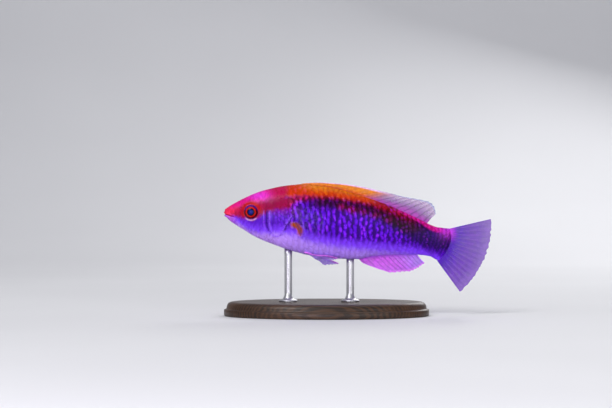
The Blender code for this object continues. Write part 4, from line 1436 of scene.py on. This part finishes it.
eye = {
    "around": 72,
    "rings": 40,
    "pupil": 1.04,
    "glassDrop": 0.05,  # the iris lies this far under the lens over the pupil
    # the fold of skin round the eye: how far from its middle, and height over the flank
    "fold": (
        (2.5, -0.12), (2.36, 0.02), (2.2, 0.1), (2.05, 0.13), (1.93, 0.11), (1.84, 0.04),
        (1.79, -0.08), (1.78, -0.3), (2.1, -0.5),
    ),
    "foldSteps": 96,
    "foldSink": 0.03,
    "hues": {
        "pupil": "#010106",
        "pupilBlue": "#010878",
        "iris": "#8c0404",
        "irisBright": "#d40e10",
        "purpleReflection": "#5418a0",
        "irisDark": "#600018",
        "rim": "#440826",
        "white": "#6a2040",
    },
}
eyeHues = palette(eye["hues"])


def eyePlace(side, across, up, out):
    # from the eye's own directions to the fish: across the face, up, and out along the eye's axis
    x, z = face["eye"]
    turn, y = side * math.radians(face["eyeTurn"]), side * out
    centre = np.array((x, side * (flank(x, z) - face["eyeSink"]), z))
    alongFish = across * math.cos(turn) - y * math.sin(turn)
    acrossFish = across * math.sin(turn) + y * math.cos(turn)
    return np.stack([alongFish, acrossFish, up], -1) + centre


def makeEye(label, side):
    # an ellipsoid about the eye's axis with a low lens over the pupil, painted in rings
    polar = np.linspace(0, math.pi, eye["rings"])[1:-1]
    around = circle(eye["around"])
    deep, pupil = face["eyeDepth"], eye["pupil"]
    radius = face["eyeRadius"] * np.sin(polar)[:, None] + 0 * around
    out = deep * np.cos(polar)[:, None] + 0 * around
    out = out - eye["glassDrop"] * fade(radius, pupil - 0.02, pupil + 0.2) * (out > 0)
    points = eyePlace(side, radius * np.cos(around), radius * np.sin(around), out)
    poles = eyePlace(side, np.zeros(2), np.zeros(2), np.array((deep, -deep)))
    above = fade(np.sin(around) + 0 * radius, 0.0, 0.75)
    # the iris's rings have edges that wander by two crossed waves
    ragged = radius + 0.04 * np.sin(9 * around) + 0.03 * np.sin(17 * around + 1)
    inner = laid(eyeHues, "pupil", ("pupilBlue", fall(radius, 0.55, 0.85)))
    paint = laid(
        eyeHues,
        "iris",
        ("irisBright", bell(ragged - 1.27, 0.14)),
        ("irisDark", fade(ragged, 1.46, 1.62)),
        # a painted reflection: a purple crescent over the top of the eye
        ("purpleReflection", 0.9 * above * bell(radius - 1.7, 0.13)),
        ("rim", fade(radius, 1.74, 1.84) * 0.7),
        (inner, fall(radius, pupil - 0.06, pupil + 0.06)),
    )
    paint = np.where((out < -0.1)[..., None], eyeHues["white"], paint)
    makePiece(
        "eyeball_" + label,
        np.concatenate([points.reshape(-1, 3), poles]),
        ballFaces(len(polar), eye["around"]),
        eyeFinish(label),
        ("eye_" + label,),
        values={"spoke": np.append(radius / face["eyeRadius"], [0, 0])},
        colours={"paint": np.concatenate([paint.reshape(-1, 3), [eyeHues["pupilBlue"], eyeHues["white"]]])},
    )


def eyeFinish(label):
    # the painted rings under a thin glaze, with brighter streaks in the iris; spoke is the share of
    # the eye's radius
    coat = {"Coat_Weight": 0.2, "Coat_Roughness": 0.02, "Specular_IOR_Level": 0.08}
    finish = Finish("eye_glaze_" + label, Roughness=0.3, **coat)
    paint, spoke = finish.attribute("paint"), finish.attribute("spoke", "Fac")
    streaks = finish.noise(finish.place(), 6.0, 3, 0.65)
    streaky = finish.blend(finish.step(streaks, 0.4, 0.62), paint, (0.78, 0.03, 0.015, 1))
    onIris = finish.step(spoke, 0.57, 0.66)
    offRim = finish.step(spoke, 0.76, 0.86, 0.25, 0.0)
    finish.use(Base_Color=finish.blend(finish.times(onIris, offRim), paint, streaky))
    return finish.material


def makeOrbit(label, side):
    # the fold of skin round the eye: a closed profile of radius and height carried round the eye
    profile = np.array(eye["fold"])
    around = circle(eye["foldSteps"])
    radius = profile[:, :1] + 0 * around
    x = face["eye"][0] + radius * np.cos(around)
    z = face["eye"][1] + radius * np.sin(around)
    y = side * (flank(x, z) - eye["foldSink"] + profile[:, 1:] + 0 * around)
    grid = np.arange(x.size).reshape(x.shape)
    inwards = np.roll(grid, -1, 0)
    faces = np.stack([grid, inwards, np.roll(inwards, -1, 1), np.roll(grid, -1, 1)], -1)
    inner = 0.8 * fall(radius, 1.88, 2.1)
    above = fade(np.sin(around) + 0 * radius, 0.0, 0.75)
    paint = bodyPaint(x, z, np.maximum(backLine(x) - z, 0))
    # the fold's inner edge in the eye's dark rim colour, and over the eye the purple crescent of the
    # painted reflection
    paint = laid(eyeHues, paint, ("rim", inner), ("purpleReflection", inner * above))
    makePiece(
        "orbit_" + label,
        np.stack([x, y, z], -1).reshape(-1, 3),
        faces.reshape(-1, 4).tolist(),
        skinFinish(),
        colours={"paint": paint.reshape(-1, 3)},
    )


# Stand

stand = {
    "baseCentre": 29.0,  # behind the snout
    "halfLength": 29.0,
    "halfWidth": 18.0,
    "thickness": 4.0,
    "around": 160,
    # how far in from the rim, and height
    "edge": (
        (0.5, 0.0), (0.12, 0.14), (0.0, 0.45), (0.0, 1.7), (0.1, 1.85), (0.55, 2.0), (0.72, 2.2),
        (0.78, 2.6), (0.95, 3.2), (1.35, 3.7), (1.9, 3.93), (2.4, 4.0),
    ),
    # rings of the two flat sides: how far in the first and the last lie, and how many there are
    "underRings": (17.6, 1.2, 6),
    "upperRings": (3.0, 17.6, 10),
    "rods": {"front": 18.2, "rear": 35.7},
    # radius and height of the turned foot
    "foot": (
        (0, 4.0), (2.6, 4.0), (2.6, 4.35), (2.52, 4.5), (2.2, 4.62), (1.75, 4.75), (1.45, 5.0),
        (1.3, 5.4), (1.22, 5.6), (1.1, 5.7),
    ),
    "rodRadius": 1.1,
    "rodAround": 40,
    "rodRings": 8,
    "rodHold": 0.05,  # how far the rods' ends reach into the belly
}


def standPoint(x, y, height):
    # a point by its height over the floor, with the tail's swing undone, as the stand has none
    return np.stack([x, y - swing(x), height - body["snoutHeight"]], -1)


def makeBase():
    # an oval board: its edge profile carried round the oval, closed to the middle above and below
    edge = np.array(stand["edge"])
    under, upper = np.linspace(*stand["underRings"]), np.linspace(*stand["upperRings"])
    inset = np.concatenate([under, edge[:, 0], upper])[:, None]
    height = np.concatenate([0 * under, edge[:, 1], 0 * upper + stand["thickness"]])[:, None]
    around = circle(stand["around"])
    # the inner rings shrink to a short ridge rather than a point
    x = stand["baseCentre"] + (stand["halfLength"] - inset) * np.cos(around)
    y = (stand["halfWidth"] - inset) * np.sin(around)
    points = standPoint(x, y, height + 0 * around).reshape(-1, 3)
    grid = np.arange(x.size).reshape(x.shape)
    faces = gridFaces(*x.shape, wrap=True).tolist() + [grid[0].tolist(), grid[-1, ::-1].tolist()]
    makePiece("board", points, faces, woodFinish(), ("stand_base",))


def woodFinish():
    # warped bands of grain along the board with dark fibres in them
    finish = Finish("walnut", Coat_Weight=0.12, Coat_Roughness=0.25, Specular_IOR_Level=0.35)
    grain = finish.place(stretch=(0.12, 1.0, 1.0))
    warp = finish.noise(grain, 0.35, 4, 0.55)
    bands = {"Scale": 0.5, "Distortion": 5.0, "Detail": 3.0, "Detail_Scale": 1.2}
    wave = finish.add("TexWave", bands_direction="Y", **bands)
    finish.feed(wave.inputs["Vector"], grain)
    fibres = finish.noise(finish.place(stretch=(0.08, 2.4, 2.4)), 1.6, 3, 0.6)
    band = finish.step(wave.outputs["Fac"], 0.25, 0.85)
    tint = finish.blend(band, (0.02, 0.009, 0.004, 1), (0.06, 0.026, 0.011, 1))
    tint = finish.blend(finish.step(warp, 0.4, 0.7, 0, 0.5), tint, (0.09, 0.04, 0.018, 1))
    tint = finish.blend(finish.step(fibres, 0.5, 0.72, 0, 0.55), tint, (0.012, 0.006, 0.004, 1))
    normal = finish.bump(fibres, 0.00003, 0.35)
    finish.use(Base_Color=tint, Normal=normal, Roughness=finish.step(fibres, 0.3, 0.7, 0.34, 0.55))
    return finish.material


def makeRod(label, station):
    # a turned foot and shaft whose upper end follows the belly it holds
    foot, rings = np.array(stand["foot"]), stand["rodRings"]
    around = circle(stand["rodAround"])
    radius = np.concatenate([foot[1:, 0], np.full(rings, stand["rodRadius"])])[:, None]
    x, y = station + radius * np.cos(around), radius * np.sin(around)
    top = body["snoutHeight"] + bellyHeight(x, y) + stand["rodHold"]
    climb = np.concatenate([np.zeros(len(foot) - 1), np.linspace(1 / rings, 1, rings)])[:, None]
    lower = np.concatenate([foot[1:, 1], np.full(rings, foot[-1, 1])])[:, None]
    points = standPoint(x, y, between(lower, top, climb))
    middle = np.array((station, station))
    cap = body["snoutHeight"] + bellyHeight(middle, np.zeros(2))[1] + stand["rodHold"]
    ends = standPoint(middle, np.zeros(2), np.array((foot[0, 1], cap)))
    makePiece(
        "rod_" + label,
        np.concatenate([points.reshape(-1, 3), ends]),
        ballFaces(*x.shape),
        rodFinish(label),
        ("stand_rod_" + label,),
    )


def rodFinish(label):
    # metal brushed along the rod
    finish = Finish("brushed_rod_" + label, Metallic=1.0)
    brushed = finish.noise(finish.place(stretch=(1, 1, 14)), 1.4, 3, 0.6)
    tint = finish.blend(finish.step(brushed, 0.3, 0.7), (0.5, 0.5, 0.53, 1), (0.68, 0.68, 0.7, 1))
    normal = finish.bump(brushed, 0.00001, 0.3)
    finish.use(Base_Color=tint, Normal=normal, Roughness=finish.step(brushed, 0.3, 0.7, 0.34, 0.46))
    return finish.material


# Room, light and camera

room = {
    "frameWidth": 612 * 0.2825,  # millimetres that the photograph's frame spans at the fish
    "centre": (23.2, 2.5),  # what the frame's middle looks at, in the fish's frame
    "distance": 620.0,
    "height": 8.0,  # how much the camera stands over what it looks at
    "sensor": 36.0,
    # from here on in metres: the floor's front end, the radius of its bend, its top and half width
    "floor": (-1.2, 0.35, 1.6, 1.6),
    # name, place, what it is aimed at, size, power and tint
    "lights": (
        ("key", (-0.3, -0.45, 0.5), (0, 0, 0.025), 0.3, 2.2, (1, 1, 1)),
        ("fill", (0.3, -0.55, 0.06), (0, 0, 0.03), 0.5, 1.5, (1, 1, 1)),
        ("top", (0.05, 0.05, 0.6), (0, 0, 0.025), 0.5, 0.8, (1, 1, 1)),
        ("low", (-0.1, -0.4, 0.012), (0, 0, 0.03), 0.16, 0.7, (0.92, 0.86, 1.0)),
        ("back", (0.2, 0.45, 0.3), (0, 0, 0.03), 0.3, 1.0, (1, 1, 1)),
    ),
    "worldTint": (0.9, 0.92, 1.0, 1),
    "worldPower": 0.3,
}


def makeFloor():
    # a pale sheet that lies flat and then bends up behind, as a curve of distance carried sideways
    front, radius, top, halfWide = room["floor"]
    bend = np.linspace(0.1, math.pi / 2, 16)
    run = [np.linspace(front, radius, 12), radius + radius * np.sin(bend), np.full(6, 2 * radius)]
    rise = [np.zeros(12), radius - radius * np.cos(bend), np.linspace(0.5, top, 6)]
    y, x = np.meshgrid(np.concatenate(run), np.linspace(-halfWide, halfWide, 9), indexing="ij")
    z = np.concatenate(rise)[:, None] + 0 * x
    points = np.stack([x, y, z], -1).reshape(-1, 3)
    mesh = bpy.data.meshes.new("floor")
    mesh.from_pydata(points.tolist(), [], gridFaces(*x.shape, flip=True).tolist())
    mesh.shade_smooth()
    floor = bpy.data.objects.new("floor", mesh)
    bpy.context.scene.collection.objects.link(floor)
    finish = Finish("pale_floor", Roughness=0.75)
    cloud = finish.step(finish.noise(finish.place(6), 1.0, 2, 0.5), 0.3, 0.7)
    finish.use(Base_Color=finish.blend(cloud, (0.72, 0.72, 0.74, 1), (0.76, 0.76, 0.78, 1)))
    mesh.materials.append(finish.material)


def aim(holder, place, target):
    # a lamp or the camera at its place, its own -z axis pointing at the target
    holder.location = Vector(place)
    holder.rotation_euler = (Vector(target) - Vector(place)).to_track_quat("-Z", "Y").to_euler()


def makeRoom():
    # the floor, the lights, an even glow all round, and the camera on the photograph's side
    makeFloor()
    for name, place, target, size, power, tint in room["lights"]:
        lamp = bpy.data.lights.new(name, "AREA")
        lamp.size, lamp.energy, lamp.color = size, power, tint
        holder = bpy.data.objects.new(name, lamp)
        bpy.context.scene.collection.objects.link(holder)
        aim(holder, place, target)
    world = bpy.data.worlds.new("studio")
    world.use_nodes = True
    glow = world.node_tree.nodes["Background"]
    glow.inputs[0].default_value, glow.inputs[1].default_value = room["worldTint"], room["worldPower"]
    bpy.context.scene.world = world
    lens = bpy.data.cameras.new("camera")
    lens.sensor_width = room["sensor"]
    lens.sensor_fit = "HORIZONTAL"
    lens.lens = room["sensor"] * room["distance"] / room["frameWidth"]
    lens.clip_start = 0.01
    camera = bpy.data.objects.new("camera", lens)
    bpy.context.scene.collection.objects.link(camera)
    middle = placeInScene(np.array((room["centre"][0], 0.0, room["centre"][1])))
    target = (float(middle[0]), 0.0, float(middle[2]))
    aim(camera, (target[0], -room["distance"] * mm, target[2] + room["height"] * mm), target)
    bpy.context.scene.camera = camera
    bpy.context.scene.view_settings.view_transform = "Standard"


makeSkin()
print("skin done")
for label, side in (("left", -1), ("right", 1)):
    makeScales(label, side, "body")
    makeScales(label, side, "head")
    makeEye(label, side)
    makeOrbit(label, side)
    makePectoralFin(label, side)
    makePelvicFin(label, side)
makeDorsalFin()
makeAnalFin()
makeTailFin()
print("fins and eyes done")
makeBase()
for label, station in stand["rods"].items():
    makeRod(label, station)
makeRoom()
print("stand and room done")
